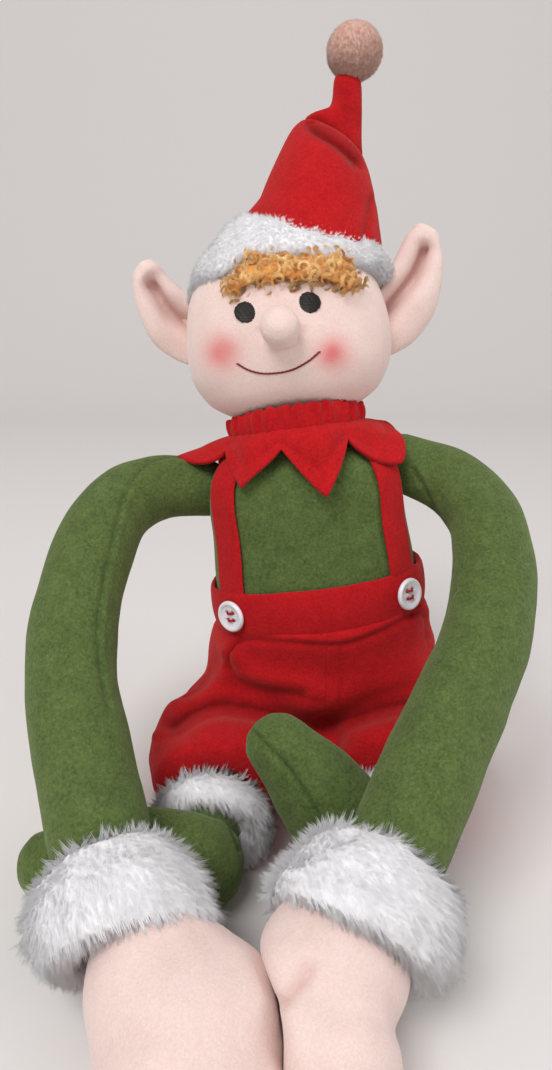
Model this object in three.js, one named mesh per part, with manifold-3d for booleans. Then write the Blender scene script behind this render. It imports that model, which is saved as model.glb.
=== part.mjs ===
// A stuffed felt and fleece elf doll, sitting with its long arms in front of it.
// Millimetres, +Z up. The doll looks along -Y, and +X is the viewer's right.
// The origin is on the floor, under the middle of the seat.

import * as THREE from 'three';
import { mergeVertices } from 'three/addons/utils/BufferGeometryUtils.js';
import Module from 'manifold-3d';

const wasm = await Module();
wasm.setup();

// Driving dimensions

const sewnGap = 0.35;          // between two pieces that are sewn or pressed together
const ballGap = 0.9;           // between a stuffed ball end and the dish that it turns in
const feltThickness = 2;

const seatHeight = 118;        // floor to the lower edge of the waistband
const seatHalfWidth = 71;
const seatHalfDepth = 52;
const seatCentre = [-3, 6];
const waistHalfWidth = 60;
const waistHalfDepth = 43;
const waistbandHeight = 25;
const waistbandThickness = 3;

const torsoLeanSide = -7.5;    // degrees, towards the viewer's left
const torsoLeanBack = -4;
const torsoFoot = 30;          // how far the torso reaches down into the shorts
const torsoHeight = 104;       // waistband's lower edge to the neck seam
const torsoSquareness = 2.3;
const pelletBagRadius = 24;
const pelletBagHeight = 26;
const pelletBagEnds = [7, 8];   // how far each end of its side stays from the bag's height

const strapWidth = 19;
const strapAngle = 56;         // degrees round the torso from its front
const strapTopAngle = 42;
const buttonDiameter = 18;
const buttonThickness = 3.2;
const buttonHoleDiameter = 2.4;
const buttonHoleSpacing = 4.3;
const threadRadius = 0.8;

const neckRadius = 21;
const neckHeight = 13;
const collarFoot = 3;           // above the neck seam, at the sides
const collarFootRise = 2;       // higher at the front and lower at the back
const collarTop = 8.5;
const collarTopRise = 5.5;
const collarBandRadius = 38;
const collarBandThickness = 3;
const petalCount = 7;
const petalTipLength = 32;
const petalNotchLength = 13;
const petalTipTurn = 14.5;      // degrees from the front to the first tip
const petalDroop = [-6, 74, 4]; // degrees: at the sides, more at the front, more at the doll's left

const headHalfWidth = 54;
const headHalfDepth = 50;
const crownHeight = 50;
const jawDepth = 54;
const headSquareness = 2.4;
const crownRoundness = 2.05;    // 2 is an ellipse, more is squarer
const jawRoundness = 2.8;
const cheekFullness = 0.14;
const headRise = 63;
const headCentre = [-25.5, 15, seatHeight + torsoHeight + headRise];
const headTurn = -5;           // degrees, face towards the viewer's left
const headLeanSide = -7;
const headLeanBack = -12;
const noseRadius = 9.5;
const noseReach = 60.5;
const noseDrop = -13;
const eyeHalfWidth = 5.4;
const eyeHalfHeight = 6;
const eyeSpacing = 33;
const eyeDrop = -2;
const eyeLift = 1.4;
const mouthOffset = -3.5;       // its middle sits to the doll's right of the nose
const mouthHalfWidth = 21.5;
const mouthCornerDrop = -27;
const mouthSag = 8;
const mouthThread = 0.8;
const earHalfWidth = 19;
const earHalfDepth = 9;
const earTipRadius = 7.5;
const earCupDepth = 7;
const fringeRadius = 9.5;
const fringeReach = 42;        // degrees round the head, each side of its middle
const fringeMiddle = -4;

const hatPlaneHeight = 13.5;      // head's centre to the plane of the band's lower edge
const hatBandHalfHeight = 10;
const hatBandTaller = 5;        // at the doll's right, and shorter at its left
const hatBandHalfThickness = 4.5;
const hatTipRadius = 13;
const hatTailEndRadius = 4.5;
const hatTailRise = 107;        // over the head's centre
const hatTailCentre = [6, 45, headCentre[2] + hatTailRise];
const pompomRise = 142;
const pompomCentre = [12.5, 54, headCentre[2] + pompomRise];
const hatBends = [[22, 10, 60], [33, 10, 84]];   // where the cone leans, in the head's frame
const pompomRadius = 15.5;

const shoulderRadius = 17.5;
const elbowRadius = 22;
const wristRadius = 27;
const elbowSwing = 40;         // degrees
const wristSwing = 15;
const cuffArmRadius = 32;
const cuffHandRadius = 41;
const handHalfDepth = 28;
const handGapX = -25;          // the plane where the two hands meet

const hipCentreY = -10;
const hipHeight = 46;
const hipSpacing = 98;
const hipRadius = 33;
const hipHalfWidth = 41;
const hipSwing = 70;           // degrees, down from the sitting pose
const thighSweepMargin = 69;   // degrees that the thigh's back needs past its axis
const legRadius = 17;
const trimRadius = 31;

const blockSide = 700;         // a block that cuts a piece off along a plane: wider than the doll
const blockDepth = 60;
const floorClearance = 0.5;

const colours = {
  greenFelt: 0x5f7a3a,
  redFelt: 0xb9202a,
  skinFleece: 0xf0dbd8,
  whitePlush: 0xf3eef2,
  palePlush: 0xe8d6cc,
  ginger: 0xc87b48,
  blackThread: 0x1d1818,
  darkRedThread: 0x7c1416,
  buttonWhite: 0xeeeaf2,
  pelletCloth: 0xd8d2c4,
};

// Shape helpers

const v3 = (x, y, z) => new THREE.Vector3(x, y, z);
const vec = ([x, y, z]) => new THREE.Vector3(x, y, z);
const rad = THREE.MathUtils.degToRad;
const pair = (value) => (Array.isArray(value) ? value : [value, value]);

function asSolid(geometry) {
  const bare = geometry.clone();
  bare.deleteAttribute('normal');
  bare.deleteAttribute('uv');
  const merged = mergeVertices(bare, 1e-4);
  return new wasm.Manifold(new wasm.Mesh({
    numProp: 3,
    vertProperties: new Float32Array(merged.attributes.position.array),
    triVerts: new Uint32Array(merged.index.array),
  }));
}

function asGeometry(solid) {
  const mesh = solid.getMesh();
  const geometry = new THREE.BufferGeometry();
  geometry.setAttribute('position', new THREE.BufferAttribute(mesh.vertProperties, 3));
  geometry.setIndex(new THREE.BufferAttribute(mesh.triVerts, 1));
  geometry.computeVertexNormals();
  return geometry;
}

function cut(geometry, ...tools) {
  const left = tools.reduce((solid, tool) => solid.subtract(asSolid(tool)), asSolid(geometry));
  return asGeometry(left);
}

function join(...geometries) {
  const [first, ...rest] = geometries.map(asSolid);
  return asGeometry(rest.reduce((solid, other) => solid.add(other), first));
}

function signedVolume(positions, index) {
  const corner = [v3(), v3(), v3()];
  let total = 0;
  for (let i = 0; i < index.length; i += 3) {
    corner.forEach((point, k) => point.fromArray(positions, 3 * index[i + k]));
    total += corner[0].dot(corner[1].clone().cross(corner[2]));
  }
  return total;
}

// A closed skin over rings of equal counts of points, drawn to a point at each end.
function skin(rings, startPoint, endPoint) {
  const count = rings[0].length;
  const positions = [];
  rings.flat().forEach((p) => positions.push(p.x, p.y, p.z));
  positions.push(startPoint.x, startPoint.y, startPoint.z);
  positions.push(endPoint.x, endPoint.y, endPoint.z);
  const start = rings.length * count;
  const last = (rings.length - 1) * count;
  const index = [];
  for (let k = 0; k < count; k += 1) {
    const next = (k + 1) % count;
    index.push(start, next, k, start + 1, last + k, last + next);
    for (let row = 0; row < last; row += count) {
      index.push(row + k, row + next, row + count + next);
      index.push(row + k, row + count + next, row + count + k);
    }
  }
  return closed(positions, index);
}

// A closed ring: the first and last of its sections join.
function ringSkin(sections) {
  const count = sections[0].length;
  const positions = [];
  sections.flat().forEach((p) => positions.push(p.x, p.y, p.z));
  const index = [];
  sections.forEach((section, i) => {
    const here = i * count;
    const there = ((i + 1) % sections.length) * count;
    for (let k = 0; k < count; k += 1) {
      const next = (k + 1) % count;
      index.push(here + k, here + next, there + next);
      index.push(here + k, there + next, there + k);
    }
  });
  return closed(positions, index);
}

function closed(positions, index) {
  if (signedVolume(positions, index) < 0) {
    for (let i = 0; i < index.length; i += 3) [index[i], index[i + 1]] = [index[i + 1], index[i]];
  }
  const geometry = new THREE.BufferGeometry();
  geometry.setAttribute('position', new THREE.Float32BufferAttribute(positions, 3));
  geometry.setIndex(index);
  geometry.computeVertexNormals();
  return geometry;
}

function ellipse(centre, wide, deep, halfWide, halfDeep, sides, squareness = 2) {
  const ring = [];
  for (let k = 0; k < sides; k += 1) {
    const angle = (2 * Math.PI * k) / sides;
    const c = Math.cos(angle);
    const s = Math.sin(angle);
    const reach = (Math.abs(c) ** squareness + Math.abs(s) ** squareness) ** (-1 / squareness);
    ring.push(centre.clone()
      .addScaledVector(wide, c * reach * halfWide)
      .addScaledVector(deep, s * reach * halfDeep));
  }
  return ring;
}

// A stuffed limb: sections that swell and taper along a smooth route through the points.
function limb({ route, girth, sides = 16, steps = 12, roundStart = true, roundEnd = true,
  grow = 0, wideAlong = v3(1, 0, 0), domeRings = 3 }) {
  const curve = new THREE.CatmullRomCurve3(route, false, 'centripetal');
  const sizes = new THREE.SplineCurve(girth.map((g) => new THREE.Vector2(...pair(g))));
  const stations = [];
  for (let i = 0; i <= steps; i += 1) {
    const t = i / steps;
    const size = sizes.getPoint(t);
    stations.push({ centre: curve.getPoint(t), along: curve.getTangent(t), size });
  }
  const dome = (end, sign) => {
    const reach = (end.size.x + end.size.y) / 2;
    const caps = [];
    for (let k = 1; k < domeRings; k += 1) {
      const angle = (Math.PI / 2) * (k / domeRings);
      caps.push({
        centre: end.centre.clone().addScaledVector(end.along, sign * reach * Math.sin(angle)),
        along: end.along,
        size: end.size.clone().multiplyScalar(Math.cos(angle)),
      });
    }
    return { caps, reach };
  };
  const first = stations[0];
  const last = stations[steps];
  const startDome = dome(first, -1);
  const endDome = dome(last, 1);
  const startReach = (roundStart ? startDome.reach : 0) + grow;
  const endReach = (roundEnd ? endDome.reach : 0) + grow;
  const all = [
    ...(roundStart ? startDome.caps.reverse() : []),
    ...stations,
    ...(roundEnd ? endDome.caps : []),
  ];
  let wide = wideAlong.clone();
  const rings = all.map(({ centre, along, size }) => {
    wide = wide.clone().addScaledVector(along, -wide.dot(along)).normalize();
    const deep = along.clone().cross(wide);
    return ellipse(centre, wide, deep, size.x + grow, size.y + grow, sides);
  });
  return skin(
    rings,
    first.centre.clone().addScaledVector(first.along, -startReach),
    last.centre.clone().addScaledVector(last.along, endReach),
  );
}

// Its poles lie along X, the line that most of the joints turn about.
function oval(centre, halves, columns = 16, rows = 10) {
  const geometry = new THREE.SphereGeometry(1, columns, rows);
  return geometry.rotateZ(Math.PI / 2).scale(...halves).translate(centre.x, centre.y, centre.z);
}

function ball(centre, radius, columns = 16, rows = 10) {
  return oval(centre, [radius, radius, radius], columns, rows);
}

const group = new THREE.Group();

function piece(parent, name, geometry, colour, roughness = 0.95) {
  const material = new THREE.MeshStandardMaterial({ color: colour, roughness, metalness: 0 });
  const mesh = new THREE.Mesh(geometry, material);
  mesh.name = name;
  parent.add(mesh);
  return mesh;
}

// The torso's own frame: its origin is the middle of the waistband's lower edge.

const upperBody = new THREE.Group();
upperBody.position.set(seatCentre[0] - 2, seatCentre[1] - 9, seatHeight + 1);
upperBody.rotation.set(rad(torsoLeanBack), rad(torsoLeanSide), 0);
upperBody.updateMatrix();
group.add(upperBody);

const toWorld = (point) => point.clone().applyMatrix4(upperBody.matrix);
const toUpper = (point) => point.clone().applyMatrix4(upperBody.matrix.clone().invert());

const torsoOutline = new THREE.SplineCurve([
  [-torsoFoot, 0.80],
  [-torsoFoot * 0.4, 0.96],
  [0, 0.985],
  [torsoHeight * 0.25, 0.97],
  [torsoHeight * 0.5, 0.93],
  [torsoHeight * 0.72, 0.92],
  [torsoHeight * 0.86, 0.84],
  [torsoHeight * 0.95, 0.64],
  [torsoHeight, 0.44],
].map(([height, share]) => new THREE.Vector2(height, share)));

function torsoShare(height) {
  const points = torsoOutline.points;
  const last = points.length - 1;
  const upper = points.findIndex((p, i) => i > 0 && (p.x >= height || i === last));
  const from = points[upper - 1];
  const t = THREE.MathUtils.clamp((height - from.x) / (points[upper].x - from.x), 0, 1);
  return torsoOutline.getPoint((upper - 1 + t) / last).y;
}

// A point over the torso's skin: degrees round from the front, height, and lift off the skin.
function overTorso(degrees, height, lift) {
  const share = torsoShare(height);
  const s = Math.sin(rad(degrees));
  const c = Math.cos(rad(degrees));
  const n = torsoSquareness;
  const wide = Math.abs(s / (waistHalfWidth * share)) ** n;
  const deep = Math.abs(c / (waistHalfDepth * share)) ** n;
  const reach = (wide + deep) ** (-1 / n) + lift;
  return v3(s * reach, -c * reach, height);
}

function torsoRings(lift, lowest, highest, steps, sides = 22) {
  const rings = [];
  for (let i = 0; i <= steps; i += 1) {
    const height = lowest + ((highest - lowest) * i) / steps;
    const ring = [];
    for (let k = 0; k < sides; k += 1) ring.push(overTorso((360 * k) / sides, height, lift));
    rings.push(ring);
  }
  return rings;
}

function torsoForm(grow) {
  const rings = torsoRings(grow, -torsoFoot, torsoHeight, 8);
  return skin(rings, v3(0, 0, -torsoFoot - grow), v3(0, 0, torsoHeight + grow));
}

const shoulderHeight = torsoHeight * 0.77;
const shoulderReach = waistHalfWidth * 0.96;
const shoulders = {
  right: toWorld(v3(-shoulderReach, 5, shoulderHeight)),
  left: toWorld(v3(shoulderReach, 5, shoulderHeight)),
};

const neckBall = v3(0, 0, torsoHeight + 1);

function buildTorso() {
  const bagHole = new THREE.CylinderGeometry(
    pelletBagRadius + sewnGap, pelletBagRadius + sewnGap, pelletBagHeight * 2, 16);
  bagHole.rotateX(Math.PI / 2).translate(0, 0, -torsoFoot);
  const dishes = Object.values(shoulders)
    .map((centre) => ball(toUpper(centre), shoulderRadius + ballGap));
  const neckDish = ball(neckBall, neckRadius + ballGap);
  const form = cut(torsoForm(0), bagHole, ...dishes, neckDish);
  piece(upperBody, 'torso', form, colours.greenFelt);

  const bagRadius = pelletBagRadius - sewnGap;
  const bag = limb({
    route: [pelletBagEnds[0], pelletBagHeight / 2, pelletBagHeight - pelletBagEnds[1]]
      .map((height) => v3(0, 0, height - torsoFoot)),
    girth: [bagRadius * 0.91, bagRadius, bagRadius, bagRadius * 0.91],
    sides: 16,
    steps: 3,
    roundStart: false,
    roundEnd: false,
  });
  piece(upperBody, 'pellet_bag', bag, colours.pelletCloth);
}

function buildWaistband() {
  const sides = 24;
  const sections = [];
  for (let k = 0; k < sides; k += 1) {
    const degrees = (360 * k) / sides;
    sections.push([
      overTorso(degrees, 0, sewnGap + 0.6),
      overTorso(degrees, 0, sewnGap + 0.6 + waistbandThickness),
      overTorso(degrees, waistbandHeight, sewnGap + 0.9 + waistbandThickness),
      overTorso(degrees, waistbandHeight, sewnGap + 0.9),
    ]);
  }
  const band = cut(ringSkin(sections), torsoForm(sewnGap));
  piece(upperBody, 'waistband', band, colours.redFelt);
}

// A strap is a felt ribbon that runs up the front, over the shoulder and down the back.
function buildStrap(side, name) {
  const bottom = waistbandHeight + sewnGap;
  const top = torsoHeight * 0.95;
  const front = [];
  const count = 4;
  for (let i = 0; i <= count; i += 1) {
    const t = i / count;
    front.push([strapAngle + (strapTopAngle - strapAngle) * t ** 3, bottom + (top - bottom) * t]);
  }
  const back = front.map(([degrees, height]) => [180 - degrees, height]).reverse();
  const stations = [...front, [90, top], ...back];
  const centres = stations.map(([degrees, height]) => overTorso(side * degrees, height, 0));
  const rings = centres.map((centre, i) => {
    const before = centres[Math.max(0, i - 1)];
    const after = centres[Math.min(centres.length - 1, i + 1)];
    const along = after.clone().sub(before).normalize();
    const [degrees, height] = stations[i];
    const below = overTorso(side * degrees, height - 1, 0);
    const beside = overTorso(side * (degrees + 1), height, 0);
    const rise = centre.clone().sub(below);
    const round = beside.clone().sub(centre);
    const out = rise.clone().cross(round).normalize();
    if (out.dot(v3(centre.x, centre.y, 0)) < 0) out.negate();
    const wide = along.clone().cross(out).normalize();
    const half = strapWidth / 2;
    const low = centre.clone().addScaledVector(out, sewnGap - 1.2);
    const high = centre.clone().addScaledVector(out, sewnGap + feltThickness);
    return [
      low.clone().addScaledVector(wide, -half),
      low.clone().addScaledVector(wide, half),
      high.clone().addScaledVector(wide, half),
      high.clone().addScaledVector(wide, -half),
    ];
  });
  const middle = (ring) => ring.reduce((sum, p) => sum.add(p), v3()).multiplyScalar(1 / ring.length);
  const ribbon = skin(rings, middle(rings[0]), middle(rings[rings.length - 1]));
  // The strap ends under the collar, so its inner edge stops below the neck seam.
  const underCollar = new THREE.BoxGeometry(blockSide, blockSide, blockDepth)
    .translate(0, 0, torsoHeight + blockDepth / 2);
  const strap = cut(ribbon, torsoForm(sewnGap), underCollar);
  piece(upperBody, name, strap, colours.redFelt);
}

function buildButton(side, name) {
  const lift = sewnGap * 2 + 0.75 + waistbandThickness;
  const height = waistbandHeight * 0.52;
  const centre = overTorso(side * strapAngle, height, lift);
  const beside = overTorso(side * (strapAngle + 2), height, lift);
  const before = overTorso(side * (strapAngle - 2), height, lift);
  const across = beside.sub(before).normalize().multiplyScalar(side);
  const out = across.clone().cross(v3(0, 0, 1)).normalize();
  const seat = new THREE.Group();
  seat.position.copy(centre);
  seat.quaternion.setFromRotationMatrix(
    new THREE.Matrix4().makeBasis(across, out.clone().negate(), v3(0, 0, 1)));
  upperBody.add(seat);

  const r = buttonDiameter / 2;
  const t = buttonThickness;
  const profile = [[0, 0], [r * 0.8, 0], [r, t * 0.35], [r, t * 0.75], [r * 0.9, t],
    [r * 0.72, t], [r * 0.6, t * 0.7], [0, t * 0.7]];
  const disc = new THREE.LatheGeometry(profile.map(([x, y]) => new THREE.Vector2(x, y)), 16);
  disc.rotateX(Math.PI);
  const half = buttonHoleSpacing / 2;
  const holes = [[-half, -half], [half, -half], [-half, half], [half, half]].map(([x, z]) => {
    const hole = new THREE.CylinderGeometry(buttonHoleDiameter / 2, buttonHoleDiameter / 2, 4 * t, 6);
    return hole.translate(x, 0, z);
  });
  piece(seat, name, cut(disc, ...holes), colours.buttonWhite, 0.3);

  // Two stitches, each across one pair of holes.
  const face = -t * 0.7 - threadRadius - sewnGap;
  for (const [row, z] of [['upper', half], ['lower', -half]]) {
    const thread = limb({
      route: [v3(-half, -0.3, z), v3(-half, -1.3, z), v3(-half * 0.8, face, z),
        v3(half * 0.8, face, z), v3(half, -1.3, z), v3(half, -0.3, z)],
      girth: [threadRadius, threadRadius],
      sides: 6,
      steps: 8,
      roundStart: false,
      roundEnd: false,
      wideAlong: v3(0, 0, 1),
    });
    piece(seat, `${name.replace('button', 'button_thread')}_${row}`, thread, colours.redFelt);
  }
}

// The collar is a ruffled stand band with a ring of pointed felt petals under it.
function buildCollar() {
  const sides = 27;
  const seam = torsoHeight + 1;
  const sections = [];
  for (let k = 0; k < sides; k += 1) {
    const angle = (2 * Math.PI * k) / sides;
    const ruffle = 0.9 * Math.sin(angle * 9);
    const point = (radius, height) => v3(Math.sin(angle) * radius, -Math.cos(angle) * radius, height);
    const r = collarBandRadius;
    const foot = torsoHeight + collarFoot + collarFootRise * Math.cos(angle);
    const top = torsoHeight + collarTop + collarTopRise * Math.cos(angle);
    sections.push([
      point(neckRadius + 3, seam),
      point(r, foot),
      point(r + ruffle, top),
      point(r + ruffle - collarBandThickness, top),
      point(r - collarBandThickness, foot + 1),
      point(neckRadius + 3, seam + 2),
    ]);
  }
  piece(upperBody, 'collar_band', cut(ringSkin(sections), torsoForm(sewnGap)), colours.redFelt);

  const petalSides = petalCount * 4;
  const steps = 3;
  const petals = [];
  for (let k = 0; k < petalSides; k += 1) {
    const degrees = (360 * k) / petalSides;
    const phase = (((degrees - petalTipTurn) * petalCount) / 360) % 1;
    const toTip = Math.abs(2 * Math.abs(phase < 0 ? phase + 1 : phase) - 1);
    const length = petalNotchLength + (petalTipLength - petalNotchLength) * toTip;
    const facing = Math.abs(Math.cos(rad(degrees)));
    const [sideDroop, frontDroop, leftDroop] = petalDroop;
    const fullDroop = sideDroop + frontDroop * facing + leftDroop * Math.sin(rad(degrees));
    const foot = torsoHeight + collarFoot + collarFootRise * Math.cos(rad(degrees));
    const outer = [];
    const inner = [];
    for (let i = 0; i <= steps; i += 1) {
      const t = i / steps;
      const run = length * t;
      const droop = rad(fullDroop * Math.min(1, 0.5 + t));
      const reach = collarBandRadius + run * Math.cos(droop);
      const height = foot - sewnGap - run * Math.sin(droop);
      const place = (lift) => v3(
        Math.sin(rad(degrees)) * (reach + lift * Math.sin(droop)),
        -Math.cos(rad(degrees)) * (reach + lift * Math.sin(droop)),
        height - feltThickness + lift * Math.cos(droop));
      outer.push(place(feltThickness));
      inner.push(place(0));
    }
    petals.push([...outer, ...inner.reverse()]);
  }
  const ring = cut(ringSkin(petals), torsoForm(sewnGap * 2 + feltThickness));
  piece(upperBody, 'collar_petals', ring, colours.redFelt);
}

function worldTorso(grow) {
  return torsoForm(grow).applyMatrix4(upperBody.matrix);
}

// Shorts, legs and shoes

const hips = {
  right: v3(seatCentre[0] - hipSpacing / 2, hipCentreY, hipHeight),
  left: v3(seatCentre[0] + hipSpacing / 2, hipCentreY, hipHeight),
};

function buildShorts() {
  const sides = 24;
  const levels = [[0, 0.72], [4, 0.86], [16, 0.96], [40, 1], [70, 0.99], [95, 0.96]];
  const rings = levels.map(([height, share]) => {
    const ring = [];
    for (let k = 0; k < sides; k += 1) {
      const angle = (2 * Math.PI * k) / sides;
      const s = Math.sin(angle);
      const c = Math.cos(angle);
      const reach = (Math.abs(s) ** 2.4 + Math.abs(c) ** 2.4) ** (-1 / 2.4) * share;
      ring.push(v3(seatCentre[0] + s * reach * seatHalfWidth,
        seatCentre[1] - c * reach * seatHalfDepth, height));
    }
    return ring;
  });
  const top = [];
  for (let k = 0; k < sides; k += 1) {
    top.push(toWorld(overTorso((360 * k) / sides, -sewnGap, waistbandThickness + 1.5)));
  }
  rings.push(top);
  const form = skin(rings, v3(seatCentre[0], seatCentre[1], 0), toWorld(v3(0, 0, -sewnGap)));

  const sockets = Object.values(hips).map((hip) => oval(
    hip, [hipHalfWidth + ballGap, hipRadius + ballGap, hipRadius + ballGap]));
  const sleeves = Object.keys(hips).map((side) => sleeveForm(legs[side], hips[side], sewnGap));
  // The room that each thigh sweeps through as the leg swings down under the seat.
  const swept = Object.values(hips).map((hip) => {
    const reach = 120;
    const back = rad(hipSwing + thighSweepMargin);
    const shape = new THREE.Shape();
    shape.moveTo(0, 0);
    shape.lineTo(-reach, reach * 0.12);
    shape.lineTo(-reach, -reach);
    shape.lineTo(-reach * Math.cos(back), -reach * Math.sin(back));
    shape.closePath();
    const width = 2 * (hipHalfWidth + ballGap);
    const room = new THREE.ExtrudeGeometry(shape, { depth: width, bevelEnabled: false });
    // Shape x is the doll's Y and shape y its Z, so the extrusion runs along X.
    room.applyMatrix4(new THREE.Matrix4().makeBasis(v3(0, 1, 0), v3(0, 0, 1), v3(1, 0, 0)));
    return room.translate(hip.x - width / 2, hip.y, hip.z);
  });
  const body = cut(form, worldTorso(sewnGap), ...sockets, ...sleeves, ...swept);
  piece(group, 'shorts_body', body, colours.redFelt);
}

function legForm(leg, grow) {
  return limb({
    route: leg.route.map(vec),
    girth: [legRadius, legRadius + 1, legRadius, legRadius - 1],
    sides: 12,
    steps: 4,
    domeRings: 2,
    grow,
  });
}

function sleeveForm(leg, hip, grow) {
  const tube = limb({
    route: leg.sleeve.map(vec),
    girth: leg.sleeveGirth,
    sides: 14,
    steps: 3,
    roundStart: false,
    roundEnd: false,
    grow,
  });
  const joint = oval(hip, [hipHalfWidth + grow, hipRadius + grow, hipRadius + grow]);
  return join(tube, joint);
}

const floorBlock = new THREE.BoxGeometry(blockSide, blockSide, blockDepth)
  .translate(0, 0, floorClearance - blockDepth / 2);

const legs = {
  right: {
    route: [[-55, -24, 44], [-60, -60, 42], [-64, -86, 36], [-70, -107, 32]],
    sleeve: [[-52, -10, 46], [-58, -34, 49], [-62, -58, 48], [-63, -78, 45]],
    sleeveGirth: [[40, 32], [45, 31], [41, 31], [35, 29]],
    trim: [[-64, -79, 34], [-65, -94, 30]],
    shoe: [[-70, -117, 29], [-92, -117, 29], [-118, -116, 28], [-141, -114, 25]],
    shoeGirth: [[20, 26], [22, 29], [21, 27], [17, 20]],
    shoeWide: [0, 1, 0],
  },
  left: {
    route: [[48, -24, 46], [42, -60, 44], [33, -86, 40], [22, -106, 34]],
    sleeve: [[46, -10, 46], [49, -34, 50], [42, -58, 51], [38, -77, 50]],
    sleeveGirth: [[40, 32], [42, 31], [39, 31], [34, 28]],
    trim: [[34, -78, 34], [31, -95, 31]],
    shoe: [[16, -115, 26], [4, -113, 46], [-13, -107, 69], [-30, -102, 87]],
    shoeGirth: [[26, 20], [26, 20], [22, 18], [16, 14]],
    shoeWide: [1, 0, 0],
  },
};

function buildLeg(side) {
  const leg = legs[side];
  const hip = hips[side];
  const shoeForm = (grow) => limb({
    route: leg.shoe.map(vec),
    girth: leg.shoeGirth,
    sides: 14,
    steps: 6,
    wideAlong: vec(leg.shoeWide),
    grow,
  });
  const sleeve = sleeveForm(leg, hip, 0);
  const trimSteps = leg.trim.map(vec);
  const trimForm = limb({
    route: [trimSteps[0], trimSteps[0].clone().lerp(trimSteps[1], 0.5), trimSteps[1]],
    girth: [trimRadius * 0.9, trimRadius, trimRadius * 0.9],
    sides: 16,
    steps: 2,
    roundStart: false,
    roundEnd: false,
  });
  piece(group, `leg_${side}`, legForm(leg, 0), colours.skinFleece);
  piece(group, `shorts_leg_${side}`, cut(sleeve, legForm(leg, sewnGap)), colours.redFelt);
  const trim = cut(trimForm, legForm(leg, sewnGap), shoeForm(sewnGap), floorBlock);
  piece(group, `trim_${side}`, trim, colours.whitePlush);
  const shoe = cut(shoeForm(0), legForm(leg, sewnGap), floorBlock);
  piece(group, `shoe_${side}`, shoe, colours.greenFelt);
}

// Arms, cuffs and hands

const arms = {
  right: {
    upper: [[-98, 4, 196], [-119, -14, 188], [-127, -30, 176], [-132, -50, 157]],
    elbow: [-136, -73, 134.5],
    lower: [[-133, -92, 115], [-124, -114, 96], [-114, -136, 77], [-101, -166, 51]],
    cuff: [[-106, -156, 56], [-88, -193, 38]],
    hand: [[-74, -215, 30], [-63, -230, 29], [-58, -240, 28]],
    handHalfWidth: 33.5,
    thumb: null,
  },
  left: {
    upper: [[72, 0, 199], [85, -18, 184], [87, -38, 167], [83, -58, 150]],
    elbow: [75.5, -80, 130.5],
    lower: [[61.5, -98, 115], [48.5, -116, 101], [34, -136, 83], [14, -166, 55]],
    cuff: [[18, -157, 60], [-6, -193, 39]],
    hand: [[-11, -213, 31], [-8, -228, 28], [-6, -240, 27]],
    handHalfWidth: 21.5,
    thumb: [[-18, -210, 52], [-23, -223, 48]],
  },
};

function stopShort(route, centre, distance) {
  const last = route[route.length - 1];
  const along = centre.clone().sub(last).normalize();
  return centre.clone().addScaledVector(along, -distance);
}

function buildArm(side) {
  const arm = arms[side];
  const shoulder = shoulders[side];
  const elbow = vec(arm.elbow);
  const upper = [shoulder, ...arm.upper.map(vec)];
  const rim = Math.sin(rad(elbowSwing));
  const upperForm = limb({
    route: [...upper, stopShort(upper, elbow, elbowRadius * rim)],
    girth: [shoulderRadius, 18.5, 20, 21.2, elbowRadius, elbowRadius * Math.cos(rad(elbowSwing)) * 1.06],
    sides: 12,
    steps: 10,
    roundEnd: false,
  });
  piece(group, `upper_arm_${side}`, cut(upperForm, ball(elbow, elbowRadius + ballGap)), colours.greenFelt);

  const lowerForm = (grow) => limb({
    route: [elbow, ...arm.lower.map(vec)],
    girth: [elbowRadius, 22.5, 23, 23, 21],
    sides: 12,
    steps: 6,
    roundEnd: false,
    grow,
  });
  piece(group, `forearm_${side}`, lowerForm(0), colours.greenFelt);

  const [cuffTop, cuffEnd] = arm.cuff.map(vec);
  const along = cuffEnd.clone().sub(cuffTop).normalize();
  const wrist = cuffEnd.clone().addScaledVector(along, wristRadius * Math.sin(rad(wristSwing)));
  const cuffForm = limb({
    route: [cuffTop, cuffTop.clone().lerp(cuffEnd, 0.5), cuffEnd],
    girth: [cuffArmRadius, cuffHandRadius, cuffHandRadius * 0.93],
    sides: 16,
    steps: 3,
    roundStart: false,
    roundEnd: false,
  });
  const palm = limb({
    route: [wrist, ...arm.hand.map(vec)],
    girth: [wristRadius, [arm.handHalfWidth * 0.95, handHalfDepth * 0.94],
      [arm.handHalfWidth, handHalfDepth], [arm.handHalfWidth * 0.8, handHalfDepth * 0.8]],
    sides: 16,
    steps: 4,
  });
  const cuff = cut(cuffForm, lowerForm(sewnGap), ball(wrist, wristRadius + ballGap), floorBlock);
  piece(group, `cuff_${side}`, cuff, colours.whitePlush);
  const mitten = arm.thumb
    ? join(palm, limb({ route: [...arm.thumb.map(vec), vec(arm.thumb[1]).add(v3(-1, -6, -2))],
      girth: [9, 10, 9], sides: 8, steps: 2, domeRings: 2 }))
    : palm;
  const sign = side === 'right' ? 1 : -1;
  const otherHand = new THREE.BoxGeometry(blockSide, blockSide, blockSide)
    .translate(handGapX + (sign * (blockSide - sewnGap)) / 2, 0, 0);
  piece(group, `hand_${side}`, cut(mitten, otherHand, floorBlock), colours.skinFleece);
}

// Head, face, ears and hair, in the head's own frame

const head = new THREE.Group();
head.position.set(...headCentre);
head.rotation.set(rad(headLeanBack), rad(headLeanSide), rad(headTurn));
head.updateMatrix();
group.add(head);
const toHead = (point) => point.clone().applyMatrix4(head.matrix.clone().invert());

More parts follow.
